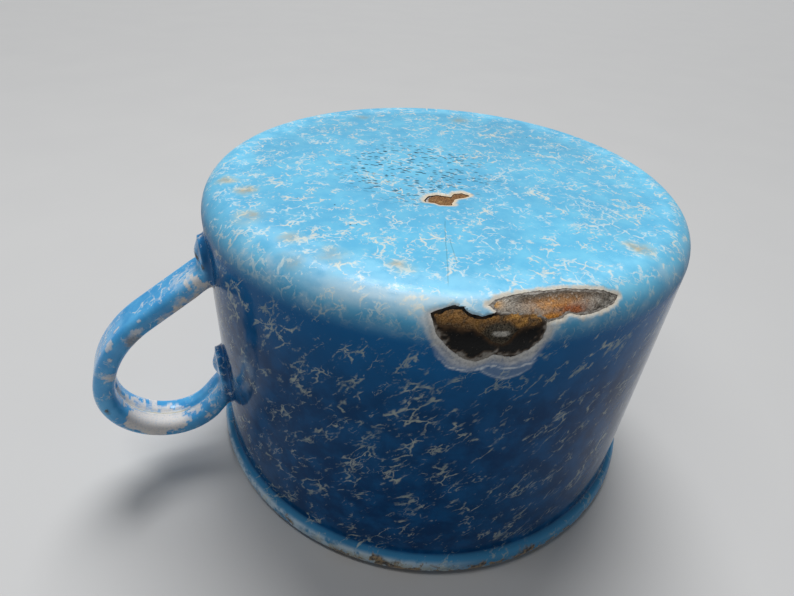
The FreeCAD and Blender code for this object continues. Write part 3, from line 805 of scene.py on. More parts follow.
hco = ease(handle, 3) / MM
r_cyl = np.hypot(hco[:, 0], hco[:, 1])
stand = r_cyl - (BASE + math.tan(TAPER) * (hco[:, 2] - CORNER))
near_wall = 1 - smooth(stand, 1.8, 3.6)
hco = ease(handle, 34, weight=0.15 + 0.85 * near_wall) / MM
handle.data.polygons.foreach_set("use_smooth", [True] * len(handle.data.polygons))

d2 = (hco[:, None, 0] - BEND[None, ::3, 0]) ** 2 + (hco[:, None, 2] - BEND[None, ::3, 1]) ** 2
near = d2.argmin(1) * 3
RUN = BEND[near, 3]
nx, nz = np.sin(BEND[near, 2]), -np.cos(BEND[near, 2])
OUTW = (hco[:, 0] - BEND[near, 0]) * nx + (hco[:, 2] - BEND[near, 1]) * nz
ANG = np.degrees(np.arctan2(-hco[:, 1], OUTW))   # 0 outer face, 90 the -Y edge, 180 finger side
SIDE = np.stack([RUN, ANG / 180 * 10.5, np.zeros(len(RUN))], 1)


def spot(run, ang, lr, la, sharp=0.35, seed=1, rough=0.5):
    a = (ANG - ang + 180) % 360 - 180
    d = np.sqrt(((RUN - run) / lr) ** 2 + (a / la) ** 2) + rough * fractal(SIDE, 0.45, seed)
    return 1 - smooth(d, 1 - sharp, 1 + sharp)


def paint_handle():
    n = len(RUN)
    col = np.zeros((n, 4))
    white = np.array([0.74, 0.70, 0.66])
    cool = np.array([0.60, 0.66, 0.70])
    grey = np.array([0.22, 0.21, 0.20])
    black = np.array([0.012, 0.012, 0.014])
    ochre = np.array([0.40, 0.33, 0.13])

    def lay(c, a):
        a = np.clip(a, 0, 1)[:, None]
        out = col[:, 3:] * (1 - a) + a
        col[:, :3] = np.where(out > 1e-4, (col[:, :3] * col[:, 3:] * (1 - a) + c * a) / np.maximum(out, 1e-4), 0)
        col[:, 3:] = out
    def mottle(seed, scale=1.3, cut=-0.15):
        return smooth(fractal(SIDE, scale, seed), cut - 0.22, cut + 0.22)
    # long white field inside the top of the ear
    lay(white, spot(52.5, 178, 10.5, 56, 0.08, 7, 0.75) * (0.35 + 0.65 * mottle(107, 0.8, -0.25)) * 0.95)
    lay(white, spot(53.9, 127, 5.9, 37, 0.08, 8, 0.95))
    lay(white, spot(49.4, 118, 2.6, 26, 0.10, 9, 0.8))
    lay(white, spot(60.4, 112, 1.5, 16, 0.10, 18, 0.9) * 0.9)
    lay(white, spot(64.5, 140, 3.2, 30, 0.10, 19, 0.9) * mottle(119) * 0.8)
    # stained seam between the rolled edges
    seam = np.exp(-((((ANG - 170 + 180) % 360 - 180)) / 7.5) ** 2) * smooth(RUN, 43, 47) * (1 - smooth(RUN, 62, 67))
    lay(ochre, seam * (0.85 + 0.3 * fractal(SIDE, 0.7, 12)))
    seam2 = np.exp(-((((ANG - 150 + 180) % 360 - 180)) / 4.0) ** 2) * smooth(RUN, 45, 48) * (1 - smooth(RUN, 58, 63))
    lay(grey * 1.6, seam2 * (0.35 + 0.3 * fractal(SIDE, 0.9, 14)))
    # lower leg: white along the camera-side edge and near the wall
    lay(white * np.array([1.0, 0.93, 0.84]), spot(9.8, 112, 5.2, 26, 0.12, 13, 0.8) * (0.25 + 0.75 * mottle(113)) * 0.95)
    lay(white * np.array([1.0, 0.93, 0.84]), spot(6.4, 62, 1.5, 34, 0.2, 15, 0.9) * mottle(115) * 0.8)
    lay(cool, spot(8.5, 20, 3.4, 36, 0.3, 16, 0.8) * mottle(116) * 0.45)
    for i, (r, a, l) in enumerate([(16.0, 104, 0.8), (18.8, 70, 0.6), (20.5, 88, 0.8), (24.0, 40, 0.6), (26.3, 62, 0.8), (27.6, 30, 0.7),
                                   (28.8, 84, 0.5), (30.5, -10, 0.6), (29.4, 48, 0.6), (31.2, 16, 0.6), (36.0, 20, 0.5)]):
        lay(white, spot(r, a, l, l * 9, 0.35, 20 + i, 1.0) * 0.75)
    # worn grey place on the finger edge, a hairline ring, one dark nick
    lay(grey * 1.1, spot(22.4, 102, 1.9, 20, 0.3, 31, 0.6) * 0.85)
    lay(white, spot(21.2, 86, 0.7, 9, 0.3, 36, 0.8) * 0.6)
    ring = np.exp(-((RUN - 32.9 - 0.35 * fractal(SIDE, 0.5, 33)) / 0.27) ** 2)
    lay(cool * 1.1, ring * 0.85 * smooth(ANG, -70, -30) * (1 - smooth(ANG, 120, 150)))
    lay(white, spot(33.1, 100, 0.9, 22, 0.25, 34, 0.8) * 0.8)
    lay(black, spot(42.6, 84, 0.42, 7, 0.3, 35, 0.3))
    # specks towards the upper joint
    for i, (r, a, l) in enumerate([(70.0, 120, 1.1), (71.5, 70, 0.8), (68.5, 60, 0.7), (66.8, 95, 0.9), (72.2, 150, 1.2), (67.5, 165, 0.9), (63.5, 80, 0.7), (64.5, 50, 0.6)]):
        lay(white, spot(r, a, l, l * 10, 0.35, 40 + i, 1.1) * mottle(140 + i) * 0.85)
    # dark pinholes in the crook of the lower joint
    lay(black, spot(3.1, 20, 0.5, 10, 0.3, 51, 0.5))
    lay(black, spot(3.0, 52, 0.35, 7, 0.3, 52, 0.5))
    return col


at = handle.data.attributes.new("wear", "FLOAT_COLOR", "POINT")
at.data.foreach_set("color", paint_handle().astype(np.float32).ravel())


# ------------------------------------------------------------- materials
class Tree:
    def __init__(self, name):
        self.mat = bpy.data.materials.new(name)
        self.mat.use_nodes = True
        self.nt = self.mat.node_tree
        self.nt.nodes.clear()
        self.out = self.nt.nodes.new("ShaderNodeOutputMaterial")
        self.bsdf = self.nt.nodes.new("ShaderNodeBsdfPrincipled")
        self.nt.links.new(self.bsdf.outputs[0], self.out.inputs[0])
        tc = self.nt.nodes.new("ShaderNodeTexCoord")
        self.mm = self.vec("SCALE", tc.outputs["Object"], None, scale=1000.0)

    def put(self, sock, value):
        if isinstance(value, bpy.types.NodeSocket):
            self.nt.links.new(value, sock)
        elif value is not None:
            sock.default_value = value

    def vec(self, op, a, b=None, scale=None):
        n = self.nt.nodes.new("ShaderNodeVectorMath")
        n.operation = op
        self.put(n.inputs[0], a)
        if b is not None:
            self.put(n.inputs[1], b)
        if scale is not None:
            self.put(n.inputs["Scale"], scale)
        return n.outputs["Value"] if op in ("LENGTH", "DISTANCE", "DOT_PRODUCT") else n.outputs["Vector"]

    def math(self, op, a, b=None, c=None, clamp=False):
        n = self.nt.nodes.new("ShaderNodeMath")
        n.operation = op
        n.use_clamp = clamp
        self.put(n.inputs[0], a)
        if b is not None:
            self.put(n.inputs[1], b)
        if c is not None:
            self.put(n.inputs[2], c)
        return n.outputs[0]

    def remap(self, v, a, b, c=0.0, d=1.0, kind="SMOOTHSTEP"):
        n = self.nt.nodes.new("ShaderNodeMapRange")
        n.interpolation_type = kind
        self.put(n.inputs[0], v)
        for i, x in enumerate((a, b, c, d), 1):
            self.put(n.inputs[i], x)
        return n.outputs[0]

    def noise(self, vec, scale, detail=3.0, rough=0.55, out="Fac"):
        n = self.nt.nodes.new("ShaderNodeTexNoise")
        self.put(n.inputs["Vector"], vec)
        n.inputs["Scale"].default_value = scale
        n.inputs["Detail"].default_value = detail
        n.inputs["Roughness"].default_value = rough
        return n.outputs[out]

    def voronoi(self, vec, scale, feature="DISTANCE_TO_EDGE", rand=1.0):
        n = self.nt.nodes.new("ShaderNodeTexVoronoi")
        n.feature = feature
        self.put(n.inputs["Vector"], vec)
        n.inputs["Scale"].default_value = scale
        n.inputs["Randomness"].default_value = rand
        return n.outputs["Distance"]

    def mix(self, fac, a, b, kind="MIX"):
        n = self.nt.nodes.new("ShaderNodeMix")
        n.data_type = "RGBA"
        n.blend_type = kind
        n.clamp_factor = True
        self.put(n.inputs[0], fac)
        self.put(n.inputs[6], a if isinstance(a, bpy.types.NodeSocket) else tuple(a) + (1,))
        self.put(n.inputs[7], b if isinstance(b, bpy.types.NodeSocket) else tuple(b) + (1,))
        return n.outputs[2]

    def attr(self):
        n = self.nt.nodes.new("ShaderNodeAttribute")
        n.attribute_name = "wear"
        return n.outputs["Color"], n.outputs["Alpha"]

    def xyz(self, vec=None):
        n = self.nt.nodes.new("ShaderNodeSeparateXYZ")
        self.put(n.inputs[0], vec or self.mm)
        return n.outputs

    def warp(self, vec, scale, amount, detail=2.0):
        n = self.noise(vec, scale, detail, out="Color")
        c = self.vec("SUBTRACT", n, (0.5, 0.5, 0.5))
        return self.vec("ADD", vec, self.vec("SCALE", c, None, scale=amount))

    def bump(self, height, strength, distance):
        n = self.nt.nodes.new("ShaderNodeBump")
        self.put(n.inputs["Height"], height)
        n.inputs["Strength"].default_value = strength
        n.inputs["Distance"].default_value = distance
        self.nt.links.new(n.outputs[0], self.bsdf.inputs["Normal"])

    def done(self, colour, rough, **more):
        self.put(self.bsdf.inputs["Base Color"], colour)
        self.put(self.bsdf.inputs["Roughness"], rough)
        for k, v in more.items():
            self.put(self.bsdf.inputs[k.replace("_", " ")], v)
        return self.mat


def veins(t, vec, seed, coarse=0.28, fine=0.52, cover=0.48, soft=1.0, patch=1.0):
    """thin broken white veins that fork like frost, with clots; 0..1"""
    v = t.vec("ADD", vec, (seed * 31.7, seed * 17.3, seed * 9.1))
    w = t.warp(v, 0.22, 3.4, 2.0)
    w = t.warp(w, 0.95, 1.15, 3.0)
    local = t.noise(v, 0.33, 3.0, 0.6)
    width = t.remap(local, 0.36, 0.70, 0.018, 0.100, "LINEAR")
    e1 = t.voronoi(w, coarse)
    l1 = t.math("SUBTRACT", 1.0, t.remap(t.math("DIVIDE", e1, width), 0.25, 1.0 + 0.6 * soft), clamp=True)
    m1 = t.remap(t.noise(v, 0.17 * patch, 4.0, 0.68), cover, cover + 0.10)
    width2 = t.math("MULTIPLY", width, 1.35)
    e2 = t.voronoi(t.vec("ADD", w, (7.7, 3.1, 5.9)), fine)
    l2 = t.math("SUBTRACT", 1.0, t.remap(t.math("DIVIDE", e2, width2), 0.25, 1.0 + 0.6 * soft), clamp=True)
    m2 = t.remap(t.noise(t.vec("ADD", v, (11.0, 4.0, 2.0)), 0.26 * patch, 4.0, 0.68), cover + 0.02, cover + 0.12)
    a = t.math("MULTIPLY", l1, m1)
    b = t.math("MULTIPLY", t.math("MULTIPLY", l2, m2), 0.9)
    both = t.math("MAXIMUM", a, b)
    # small soft clots where the veins meet
    clot = t.remap(t.noise(w, 0.85, 4.0, 0.62), 0.57, 0.70)
    clot = t.math("MULTIPLY", clot, t.math("MAXIMUM", m1, m2))
    return t.math("MAXIMUM", both, t.math("MULTIPLY", clot, 0.75))


def segment(t, ax, ay, bx, by, width):
    """1 on a thin straight line between two points of the base"""
    length = math.hypot(bx - ax, by - ay)
    ux, uy = (bx - ax) / length, (by - ay) / length
    rel = t.vec("SUBTRACT", t.warp(t.mm, 0.12, 0.8), (ax, ay, 0.0))
    along = t.vec("DOT_PRODUCT", rel, (ux, uy, 0.0))
    off = t.math("ABSOLUTE", t.vec("DOT_PRODUCT", rel, (-uy, ux, 0.0)))
    on = t.math("MULTIPLY", t.remap(along, 0.0, 1.5), t.remap(along, length, length - 2.0))
    return t.math("MULTIPLY", on, t.remap(off, width, width * 0.3))


def swirl_material(name, cup=True):
    t = Tree(name)
    x, y, z = t.xyz()
    tint, amount = t.attr()
    if cup:
        up = t.remap(z, 0.7, 6.6)
        near_rim = t.remap(z, 60.1, 61.1)
    else:
        up = t.math("ADD", 0.0, 0.0)
        near_rim = None
    slow = t.noise(t.mm, 0.035, 3.0)
    mid = t.noise(t.mm, 0.22, 4.0, 0.6)
    if cup:
        # painted light and shade: the base's face gets a light sky blue as painted light and the wall a deep blue as
        # painted shade; the wall is painted lighter again towards the corner and on the roll near the rim
        lit_face = t.mix(t.remap(mid, 0.35, 0.7), (0.132, 0.510, 0.770), (0.185, 0.590, 0.820))
        wall = t.mix(t.remap(mid, 0.35, 0.7), (0.002, 0.040, 0.130), (0.005, 0.080, 0.230))
        wall = t.mix(t.remap(z, 22.0, 5.0, 0.0, 0.75), wall, (0.008, 0.145, 0.390))
        base = t.mix(up, lit_face, wall)
        base = t.mix(t.math("MULTIPLY", near_rim, 0.85), base, (0.055, 0.275, 0.500))
    else:
        base = t.mix(t.remap(mid, 0.35, 0.7), (0.055, 0.350, 0.720), (0.115, 0.480, 0.840))
        flat = t.vec("LENGTH", t.vec("MULTIPLY", t.mm, (1.0, 1.0, 0.0)))
        stand = t.math("SUBTRACT", flat, t.math("MULTIPLY_ADD", z, math.tan(TAPER), BASE - math.tan(TAPER) * CORNER))
        # painted shade: where the handle lies on the wall, its blue turns deep, as on the shaded wall
        shaded_deep = t.mix(t.remap(mid, 0.35, 0.7), (0.004, 0.070, 0.210), (0.010, 0.150, 0.400))
        wall_touch_shade = t.remap(t.math("ADD", stand, t.math("MULTIPLY", t.math("SUBTRACT", mid, 0.5), 2.0)), 2.2, 0.5)
        base = t.mix(wall_touch_shade, base, shaded_deep)
    # slow random tone shift; its target colour is lighter on the base's face and darker on the wall, as painted light
    # and shade
    base = t.mix(t.remap(slow, 0.35, 0.65, 0.0, 0.25), base, t.mix(up, (0.04, 0.20, 0.40), (0.006, 0.07, 0.18)))
    # veins: round on the base, drawn out and slanted on the wall
    if cup:
        round_v = veins(t, t.mm, 1, 0.36, 0.72, 0.487, 1.0, 1.45)
        shear = t.nt.nodes.new("ShaderNodeCombineXYZ")
        turn = t.math("MULTIPLY", z, -0.0115)
        co, si = t.math("COSINE", turn), t.math("SINE", turn)
        t.put(shear.inputs[0], t.math("SUBTRACT", t.math("MULTIPLY", x, co), t.math("MULTIPLY", y, si)))
        t.put(shear.inputs[1], t.math("ADD", t.math("MULTIPLY", x, si), t.math("MULTIPLY", y, co)))
        t.put(shear.inputs[2], t.math("MULTIPLY", z, 0.74))
        wall_v = veins(t, shear.outputs[0], 2, 0.35, 0.74, 0.524, 1.0, 1.1)
        white = t.math("ADD", t.math("MULTIPLY", round_v, t.math("SUBTRACT", 1.0, up)), t.math("MULTIPLY", wall_v, up), clamp=True)
        strength = t.remap(up, 0.0, 1.0, 0.80, 0.64, "LINEAR")
        white = t.math("MULTIPLY", white, strength)
        pale = t.mix(t.remap(t.noise(t.mm, 0.10, 3.0), 0.42, 0.62), (0.60, 0.73, 0.76), (0.77, 0.73, 0.60))
        # the veins are painted darker and greyer on the wall than on the base's face, as painted shade
        vein_col = t.mix(up, pale, t.mix(t.remap(t.noise(t.mm, 0.14, 3.0), 0.4, 0.62), (0.36, 0.41, 0.36), (0.58, 0.60, 0.48)))
        # painted sheen: a milky pale band along the base's rounded corner, strongest on the front side, stands in for
        # the soft highlight there
        edge = t.math("MULTIPLY", t.remap(z, 0.05, 1.2), t.remap(z, 5.5, 2.2))
        front_sheen = t.remap(t.vec("DOT_PRODUCT", t.mm, (0.47, -0.88, 0.0)), 41.0, 47.0, 0.0, 0.62)
        front_sheen = t.math("MULTIPLY", front_sheen, t.math("MULTIPLY", t.remap(z, 0.05, 0.5), t.remap(z, 3.2, 1.0)))
        corner_sheen = t.math("MULTIPLY", edge, t.remap(t.noise(t.mm, 0.16, 4.0, 0.6), 0.45, 0.7))
        corner_sheen = t.math("MULTIPLY", corner_sheen, t.remap(t.vec("DOT_PRODUCT", t.mm, (0.47, -0.88, 0.0)), 24.0, 40.0, 0.22, 1.0))
        corner_sheen = t.math("MAXIMUM", t.math("MULTIPLY", corner_sheen, 0.55), t.math("MULTIPLY", front_sheen, t.remap(mid, 0.3, 0.6, 0.45, 1.0)))
        base = t.mix(corner_sheen, base, (0.60, 0.69, 0.72))
        # the roll's crest is painted pale on the handle's side, a painted highlight mixed with rubbed wear, and stained
        # in front
        crest = t.math("MULTIPLY", t.remap(z, 60.9, 61.7), t.remap(z, 64.2, 63.2))
        rub_and_highlight = t.remap(t.vec("DOT_PRODUCT", t.mm, (0.83, -0.56, 0.0)), 36.0, 49.0)
        rub_and_highlight = t.math("MULTIPLY", t.math("MULTIPLY", rub_and_highlight, crest), t.remap(t.noise(t.mm, 0.28, 4.0, 0.65), 0.36, 0.56))
        base = t.mix(t.math("MULTIPLY", rub_and_highlight, 0.72), base, (0.60, 0.72, 0.78))
        soil = t.math("MULTIPLY", t.remap(t.vec("DOT_PRODUCT", t.mm, (0.57, -0.82, 0.0)), 49.5, 52.6), t.remap(z, 61.2, 62.6))
        soil = t.math("MULTIPLY", soil, t.remap(t.noise(t.mm, 0.33, 4.0, 0.65), 0.40, 0.56))
        base = t.mix(t.math("MULTIPLY", soil, 0.6), base, (0.40, 0.38, 0.26))
    else:
        white = t.math("MULTIPLY", veins(t, t.mm, 3, 0.38, 0.8, 0.53), 0.75)
        vein_col = t.mix(0.0, (0.70, 0.74, 0.74), (0.7, 0.7, 0.7))
    col = t.mix(white, base, vein_col)
    if cup:
        # faint ochre stains, pin-point specks, and short scuffs on the base
        for px, py, r, k in ((41.4, 1.0, 3.2, 0.6), (42.3, -9.3, 4.2, 0.5), (44.0, 6.5, 3.0, 0.5), (33.2, -25.8, 4.2, 0.5), (24.1, -31.7, 3.4, 0.5),
                             (37.5, -19.0, 3.2, 0.4), (-16.2, -39.6, 3.6, 0.6), (39.2, -25.0, 3.2, 0.45), (-20, 30, 4, 0.4), (5, 38, 3, 0.3)):
            dist = t.vec("DISTANCE", t.warp(t.mm, 0.3, 3.4), (px, py, 0.0))
            f = t.math("MULTIPLY", t.math("MULTIPLY", t.remap(dist, r, 0.2), k * 1.2), t.remap(mid, 0.40, 0.58, 0.45, 1.0))
            col = t.mix(f, col, t.mix(t.remap(dist, r * 0.75, 0.0), (0.46, 0.46, 0.31), (0.42, 0.28, 0.09)))
        for a in ((10.7, -20.3, 19.8, -39.5), (12.8, -26.1, 15.9, -35.0)):
            col = t.mix(t.math("MULTIPLY", segment(t, *a, 0.14), 0.34), col, (0.04, 0.15, 0.17))
        pin = t.math("MULTIPLY", t.remap(t.voronoi(t.mm, 0.33, "F1"), 0.075, 0.045), t.remap(t.noise(t.mm, 0.1, 2.0), 0.56, 0.62))
        col = t.mix(t.math("MULTIPLY", pin, 0.85), col, (0.03, 0.05, 0.07))
        squash = t.nt.nodes.new("ShaderNodeCombineXYZ")
        t.put(squash.inputs[0], t.math("ADD", t.math("MULTIPLY", x, 0.9), t.math("MULTIPLY", y, 0.55)))
        t.put(squash.inputs[1], t.math("SUBTRACT", t.math("MULTIPLY", y, 2.2), t.math("MULTIPLY", x, 1.4)))
        t.put(squash.inputs[2], z)
        dash = t.remap(t.voronoi(squash.outputs[0], 0.56, "F1"), 0.38, 0.25)
        zone = t.math("MULTIPLY", t.remap(t.vec("DISTANCE", t.warp(t.mm, 0.12, 9.0), (6.0, 2.0, 0.0)), 20.0, 11.0), t.remap(z, 0.4, 0.1))
        zone = t.math("MULTIPLY", zone, t.remap(t.noise(t.mm, 0.16, 3.0), 0.40, 0.48))
        col = t.mix(t.math("MULTIPLY", t.math("MULTIPLY", dash, zone), 0.9), col, (0.015, 0.06, 0.10))
        # worn, rusty nibbles on the standing edge of the rim
        side = t.remap(t.vec("DOT_PRODUCT", t.mm, (0.31, -0.95, 0.0)), 43.0, 51.5, 0.0, 0.11)
        nib_n = t.math("ADD", t.noise(t.mm, 0.30, 4.0, 0.68), side)
        nib = t.math("MULTIPLY", t.remap(t.math("ADD", z, t.math("ADD", t.math("MULTIPLY", t.math("SUBTRACT", mid, 0.5), 5.0), t.math("MULTIPLY", side, 7.0))), 62.1, 63.1), t.remap(nib_n, 0.575, 0.63))
        col = t.mix(t.math("MULTIPLY", nib, 0.92), col, t.mix(t.remap(t.noise(t.mm, 1.3, 3.0), 0.35, 0.65), (0.045, 0.035, 0.03), (0.33, 0.22, 0.10)))
        # a pale patch painted on the wall beside the handle as a soft highlight
        wall_highlight = t.vec("DISTANCE", t.vec("MULTIPLY", t.warp(t.mm, 0.2, 5.0), (1.0, 1.0, 0.42)), (47.6, -17.2, 28.0 * 0.42))
        col = t.mix(t.math("MULTIPLY", t.math("MULTIPLY", t.remap(wall_highlight, 5.0, 1.0), t.remap(mid, 0.35, 0.6)), 0.26), col, (0.30, 0.42, 0.52))
    broken = t.noise(t.mm, 2.6, 4.0, 0.65)
    amt = t.math("MULTIPLY", amount, t.remap(broken, 0.22, 0.5, 0.55, 1.0), clamp=True)
    tinted = t.mix(t.remap(broken, 0.4, 0.75), tint, t.mix(0.35, tint, (0.9, 0.9, 0.88)))
    col = t.mix(amt, col, tinted)
    fine = t.noise(t.mm, 1.1, 4.0, 0.6)
    rough = t.remap(t.noise(t.mm, 0.5, 5.0, 0.7), 0.35, 0.75, 0.07, 0.17)
    if cup:
        radial = t.vec("LENGTH", t.vec("MULTIPLY", t.mm, (1.0, 1.0, 0.0)))
        corner = t.math("MULTIPLY", t.remap(radial, 36.0, 44.5), t.remap(z, 8.0, 3.5))
        facing = t.remap(t.vec("DOT_PRODUCT", t.mm, (0.47, -0.88, 0.0)), 22.0, 38.0, 0.45, 1.0)
        rough = t.math("ADD", rough, t.math("MULTIPLY", corner, t.remap(mid, 0.35, 0.65, 0.20, 0.42)), clamp=True)
    rough = t.math("ADD", rough, t.math("MULTIPLY", amount, 0.45), clamp=True)
    height = t.math("ADD", t.math("MULTIPLY", t.noise(t.mm, 0.16, 2.0), 1.0), t.math("MULTIPLY", fine, 0.10))
    height = t.math("ADD", height, t.math("MULTIPLY", white, 0.05))
    height = t.math("ADD", height, t.math("MULTIPLY", t.math("MULTIPLY", amount, broken), 0.5))
    t.bump(height, 0.35, 0.00028)
    level = t.math("MULTIPLY", t.math("ADD", t.remap(up, 0.0, 1.0, 0.5, 0.13, "LINEAR"), t.math("MULTIPLY", near_rim, 0.5)), t.remap(amount, 0.0, 0.8, 1.0, 0.5)) if cup else t.remap(wall_touch_shade, 0.0, 1.0, 0.42, 0.2)
    if cup:
        level = t.math("MULTIPLY", level, t.math("SUBTRACT", 1.0, t.math("MULTIPLY", corner, t.math("SUBTRACT", 1.0, facing))))
    return t.done(col, rough, IOR=t.remap(up, 0.0, 1.0, 1.5, 1.3, "LINEAR") if cup else 1.5, Specular_IOR_Level=level)


def ground_material():
    t = Tree("ground_coat_black")
    tint, amount = t.attr()
    n = t.noise(t.mm, 1.8, 5.0, 0.65)
    col = t.mix(t.remap(n, 0.35, 0.75), (0.002, 0.002, 0.0022), (0.008, 0.0072, 0.0065))
    fleck = t.remap(t.voronoi(t.mm, 1.7, "F1"), 0.16, 0.08)
    col = t.mix(t.math("MULTIPLY", fleck, 0.30), col, (0.16, 0.14, 0.11))
    col = t.mix(t.math("MULTIPLY", amount, t.remap(n, 0.3, 0.6, 0.4, 1.0)), col, tint)
    rough = t.remap(n, 0.3, 0.8, 0.40, 0.75)
    t.bump(t.math("ADD", n, t.math("MULTIPLY", fleck, -0.6)), 0.5, 0.00022)
    return t.done(col, rough, Specular_IOR_Level=0.16)


def rust_material():
    t = Tree("rusted_steel")
    tint, amount = t.attr()
    n = t.noise(t.mm, 4.4, 6.0, 0.72)
    big = t.noise(t.mm, 0.7, 3.0, 0.6)
    col = t.mix(t.remap(n, 0.36, 0.64), t.mix(0.60, tint, (0.006, 0.005, 0.004)), t.mix(0.10, tint, (0.85, 0.68, 0.42)))
    col = t.mix(t.remap(big, 0.58, 0.72, 0.0, 0.4), col, tint)
    rough = t.remap(n, 0.3, 0.8, 0.95, 0.6)
    t.bump(t.math("ADD", n, t.math("MULTIPLY", big, 0.6)), 0.7, 0.00030)
    return t.done(col, rough, Metallic=0.0, Specular_IOR_Level=0.12)


def lining_material():
    t = Tree("white_enamel")
    tint, amount = t.attr()
    n = t.noise(t.mm, 0.12, 4.0, 0.6)
    col = t.mix(t.remap(n, 0.3, 0.75), (0.74, 0.74, 0.70), (0.80, 0.80, 0.77))
    pin = t.math("MULTIPLY", t.remap(t.voronoi(t.mm, 0.22, "F1"), 0.05, 0.03), t.remap(t.noise(t.mm, 0.09, 2.0), 0.55, 0.6))
    col = t.mix(t.math("MULTIPLY", pin, 0.9), col, (0.06, 0.05, 0.045))
    col = t.mix(t.math("MULTIPLY", amount, t.remap(t.noise(t.mm, 0.35, 4.0), 0.4, 0.65)), col, tint)
    line_n = t.nt.nodes.new("ShaderNodeCombineXYZ")
    x, y, z = t.xyz()
    t.put(line_n.inputs[0], t.math("MULTIPLY", x, 0.35))
    t.put(line_n.inputs[1], t.math("MULTIPLY", y, 3.5))
    t.put(line_n.inputs[2], t.math("MULTIPLY", z, 0.8))
    scr = t.remap(t.noise(line_n.outputs[0], 0.9, 2.0), 0.68, 0.74)
    col = t.mix(t.math("MULTIPLY", scr, 0.25), col, (0.45, 0.45, 0.43))
    rough = t.math("ADD", t.remap(n, 0.3, 0.8, 0.09, 0.18), t.math("MULTIPLY", scr, 0.2))
    t.bump(t.math("ADD", t.noise(t.mm, 0.2, 2.0), t.math("MULTIPLY", scr, -0.05)), 0.3, 0.00025)
    return t.done(col, rough, Coat_Weight=0.3, Coat_Roughness=0.06)


def steel_material():
    t = Tree("dull_steel")
    n = t.noise(t.mm, 0.9, 5.0, 0.65)
    r = t.noise(t.mm, 0.3, 4.0, 0.6)
    col = t.mix(t.remap(n, 0.3, 0.75), (0.16, 0.15, 0.14), (0.34, 0.32, 0.30))
    col = t.mix(t.remap(r, 0.5, 0.65, 0.0, 0.85), col, (0.17, 0.08, 0.03))
    t.bump(n, 0.5, 0.0002)
    return t.done(col, t.remap(n, 0.3, 0.8, 0.75, 0.42), Metallic=t.remap(r, 0.5, 0.65, 0.7, 0.05))


M_CUP = swirl_material("blue_swirl_enamel", True)
M_HANDLE = swirl_material("blue_swirl_handle", False)
M_GROUND = ground_material()
M_RUST = rust_material()
M_LINING = lining_material()
M_STEEL = steel_material()


def give(o, mat):
    o.data.materials.clear()
    o.data.materials.append(mat)


give(cover, M_CUP)
give(ground, M_GROUND)
give(rust, M_RUST)
give(lining, M_LINING)
give(handle, M_HANDLE)
for name, mat in (("cup_shell", M_STEEL), ("handle_strap", M_STEEL), ("handle_rivets", M_STEEL), ("handle_ground_coat", M_GROUND)):
    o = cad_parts[name]
    for i in range(max(1, len(o.material_slots))):
        if i < len(o.data.materials):
            o.data.materials[i] = mat
        else:
            o.data.materials.append(mat)

for piece, slot in ((cover, "swirl_enamel"), (ground, "ground_coat"), (rust, "bare_steel"), (lining, "white_enamel"), (handle, "swirl_enamel")):
    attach(piece, "root")
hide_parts("cup_swirl_enamel")
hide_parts("cup_ground_coat")
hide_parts("cup_white_lining")
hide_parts("handle_swirl_enamel")

# ------------------------------------------------------- floor and light
KEY, SHEEN, AMBIENT = 2.88, 0.38, 0.17
# The reference view shows the cup standing on its rim, seen from above the
# base, so there the camera is on the -Z side of the upright model.  Floor and
# lights hang on one empty that turns over with the camera's side.
cam_data = bpy.data.cameras.new("camera")
cam = bpy.data.objects.new("camera", cam_data)
scene.collection.objects.link(cam)
scene.camera = cam
cam_data.sensor_width = 36.0
cam_data.lens = 500.0 * 36.0 / 794.0
cam_data.shift_x = 0.0
cam_data.clip_start, cam_data.clip_end = 0.005, 20.0
R = Vector((-0.91897, -0.39029, -0.05636))
F = Vector((-0.34557, 0.72817, 0.59191))
U = R.cross(F).normalized()
R = F.cross(U).normalized()
pos = Vector((51.448, -89.110, TOP - 105.754)) * MM
cam.matrix_world = Matrix(((R.x, U.x, -F.x, pos.x), (R.y, U.y, -F.y, pos.y), (R.z, U.z, -F.z, pos.z), (0, 0, 0, 1)))

rig = bpy.data.objects.new("stage_rig", None)
scene.collection.objects.link(rig)


def drive(path, index, when_below):
    fc = rig.driver_add(path, index)
    d = fc.driver
    d.type = "SCRIPTED"
    v = d.variables.new()
    v.name = "c"
    v.type = "TRANSFORMS"
    v.targets[0].id = cam
    v.targets[0].transform_type = "LOC_Z"
    v.targets[0].transform_space = "WORLD_SPACE"
    d.expression = "%.8f if c < 0 else 0" % when_below


drive("rotation_euler", 0, math.pi)
drive("location", 2, TOP * MM)

bm = bmesh.new()
bmesh.ops.create_grid(bm, x_segments=2, y_segments=2, size=4.0)
fme = bpy.data.meshes.new("floor")
bm.to_mesh(fme)
bm.free()
floor = bpy.data.objects.new("floor", fme)
scene.collection.objects.link(floor)
floor.parent = rig
floor.location = (0, 0, -0.00003)
ft = Tree("floor_pale")
fn = ft.noise(ft.mm, 0.02, 3.0)
give(floor, ft.done(ft.mix(fn, (0.50, 0.50, 0.50), (0.53, 0.53, 0.525)), 0.75))


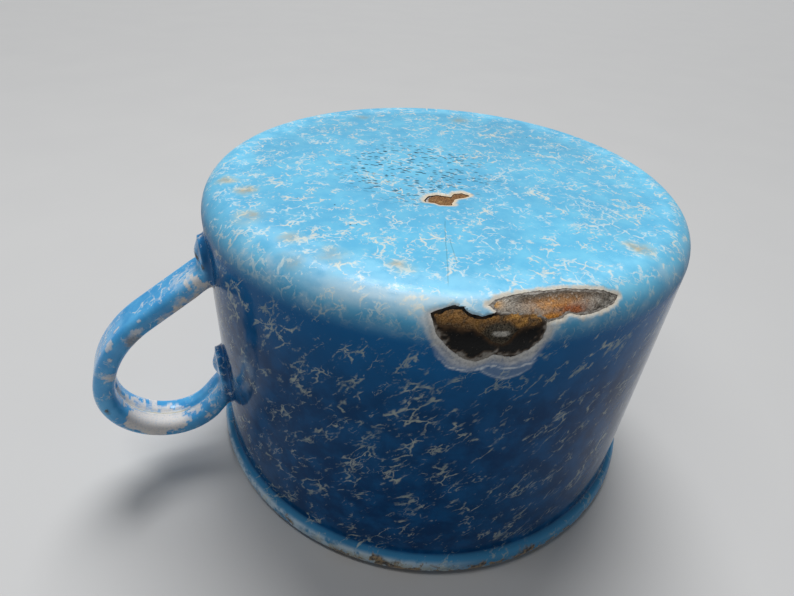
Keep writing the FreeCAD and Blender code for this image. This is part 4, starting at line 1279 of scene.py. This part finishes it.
def area(name, loc, target, size, power, colour=(1, 1, 1)):
    ld = bpy.data.lights.new(name, "AREA")
    ld.shape = "RECTANGLE"
    ld.size, ld.size_y = size
    ld.energy = power
    ld.color = colour
    o = bpy.data.objects.new(name, ld)
    scene.collection.objects.link(o)
    o.parent = rig
    loc = Vector(loc)
    o.location = loc
    o.rotation_mode = "QUATERNION"
    o.rotation_quaternion = (Vector(target) - loc).to_track_quat("-Z", "Y")
    return o


def sun(name, direction, strength, angle, colour=(1, 1, 1)):
    """direction points from the cup towards the light, in rig coordinates"""
    ld = bpy.data.lights.new(name, "SUN")
    ld.energy = strength
    ld.angle = math.radians(angle)
    ld.color = colour
    o = bpy.data.objects.new(name, ld)
    scene.collection.objects.link(o)
    o.parent = rig
    o.rotation_mode = "QUATERNION"
    o.rotation_quaternion = Vector(direction).to_track_quat("Z", "Y")
    return o


# rig coordinates: z up from the floor.  In the reference view the camera
# stands at about (0.05, 0.09, 0.11), so the key light comes from beyond the cup.
sun("key_soft", (-0.22, -0.50, 0.95), KEY, 34)
strip = area("sheen", (0.13, 0.02, 0.42), (0.03, 0.03, 0.02), (0.26, 0.035), SHEEN)
zz = (Vector((0.13, 0.02, 0.42)) - Vector((0.03, 0.03, 0.02))).normalized()
xx = Vector((-0.145, 0.16, 0.04))
xx = (xx - zz * xx.dot(zz)).normalized()
yy = zz.cross(xx)
strip.rotation_quaternion = Matrix(((xx.x, yy.x, zz.x), (xx.y, yy.y, zz.y), (xx.z, yy.z, zz.z))).to_quaternion()
strip.visible_camera = False
world = bpy.data.worlds.new("studio")
scene.world = world
world.use_nodes = True
wn = world.node_tree
wn.nodes.clear()
w_out = wn.nodes.new("ShaderNodeOutputWorld")
w_bg = wn.nodes.new("ShaderNodeBackground")
w_lp = wn.nodes.new("ShaderNodeLightPath")
w_mix = wn.nodes.new("ShaderNodeMix")
w_mix.data_type = "RGBA"
wn.links.new(w_lp.outputs["Is Camera Ray"], w_mix.inputs[0])
w_mix.inputs[6].default_value = (AMBIENT * 0.94, AMBIENT * 0.98, AMBIENT * 1.04, 1)
w_mix.inputs[7].default_value = (0.47, 0.475, 0.48, 1)
wn.links.new(w_mix.outputs[2], w_bg.inputs[0])
w_bg.inputs[1].default_value = 1.0
wn.links.new(w_bg.outputs[0], w_out.inputs[0])
scene.view_settings.view_transform = "Standard"
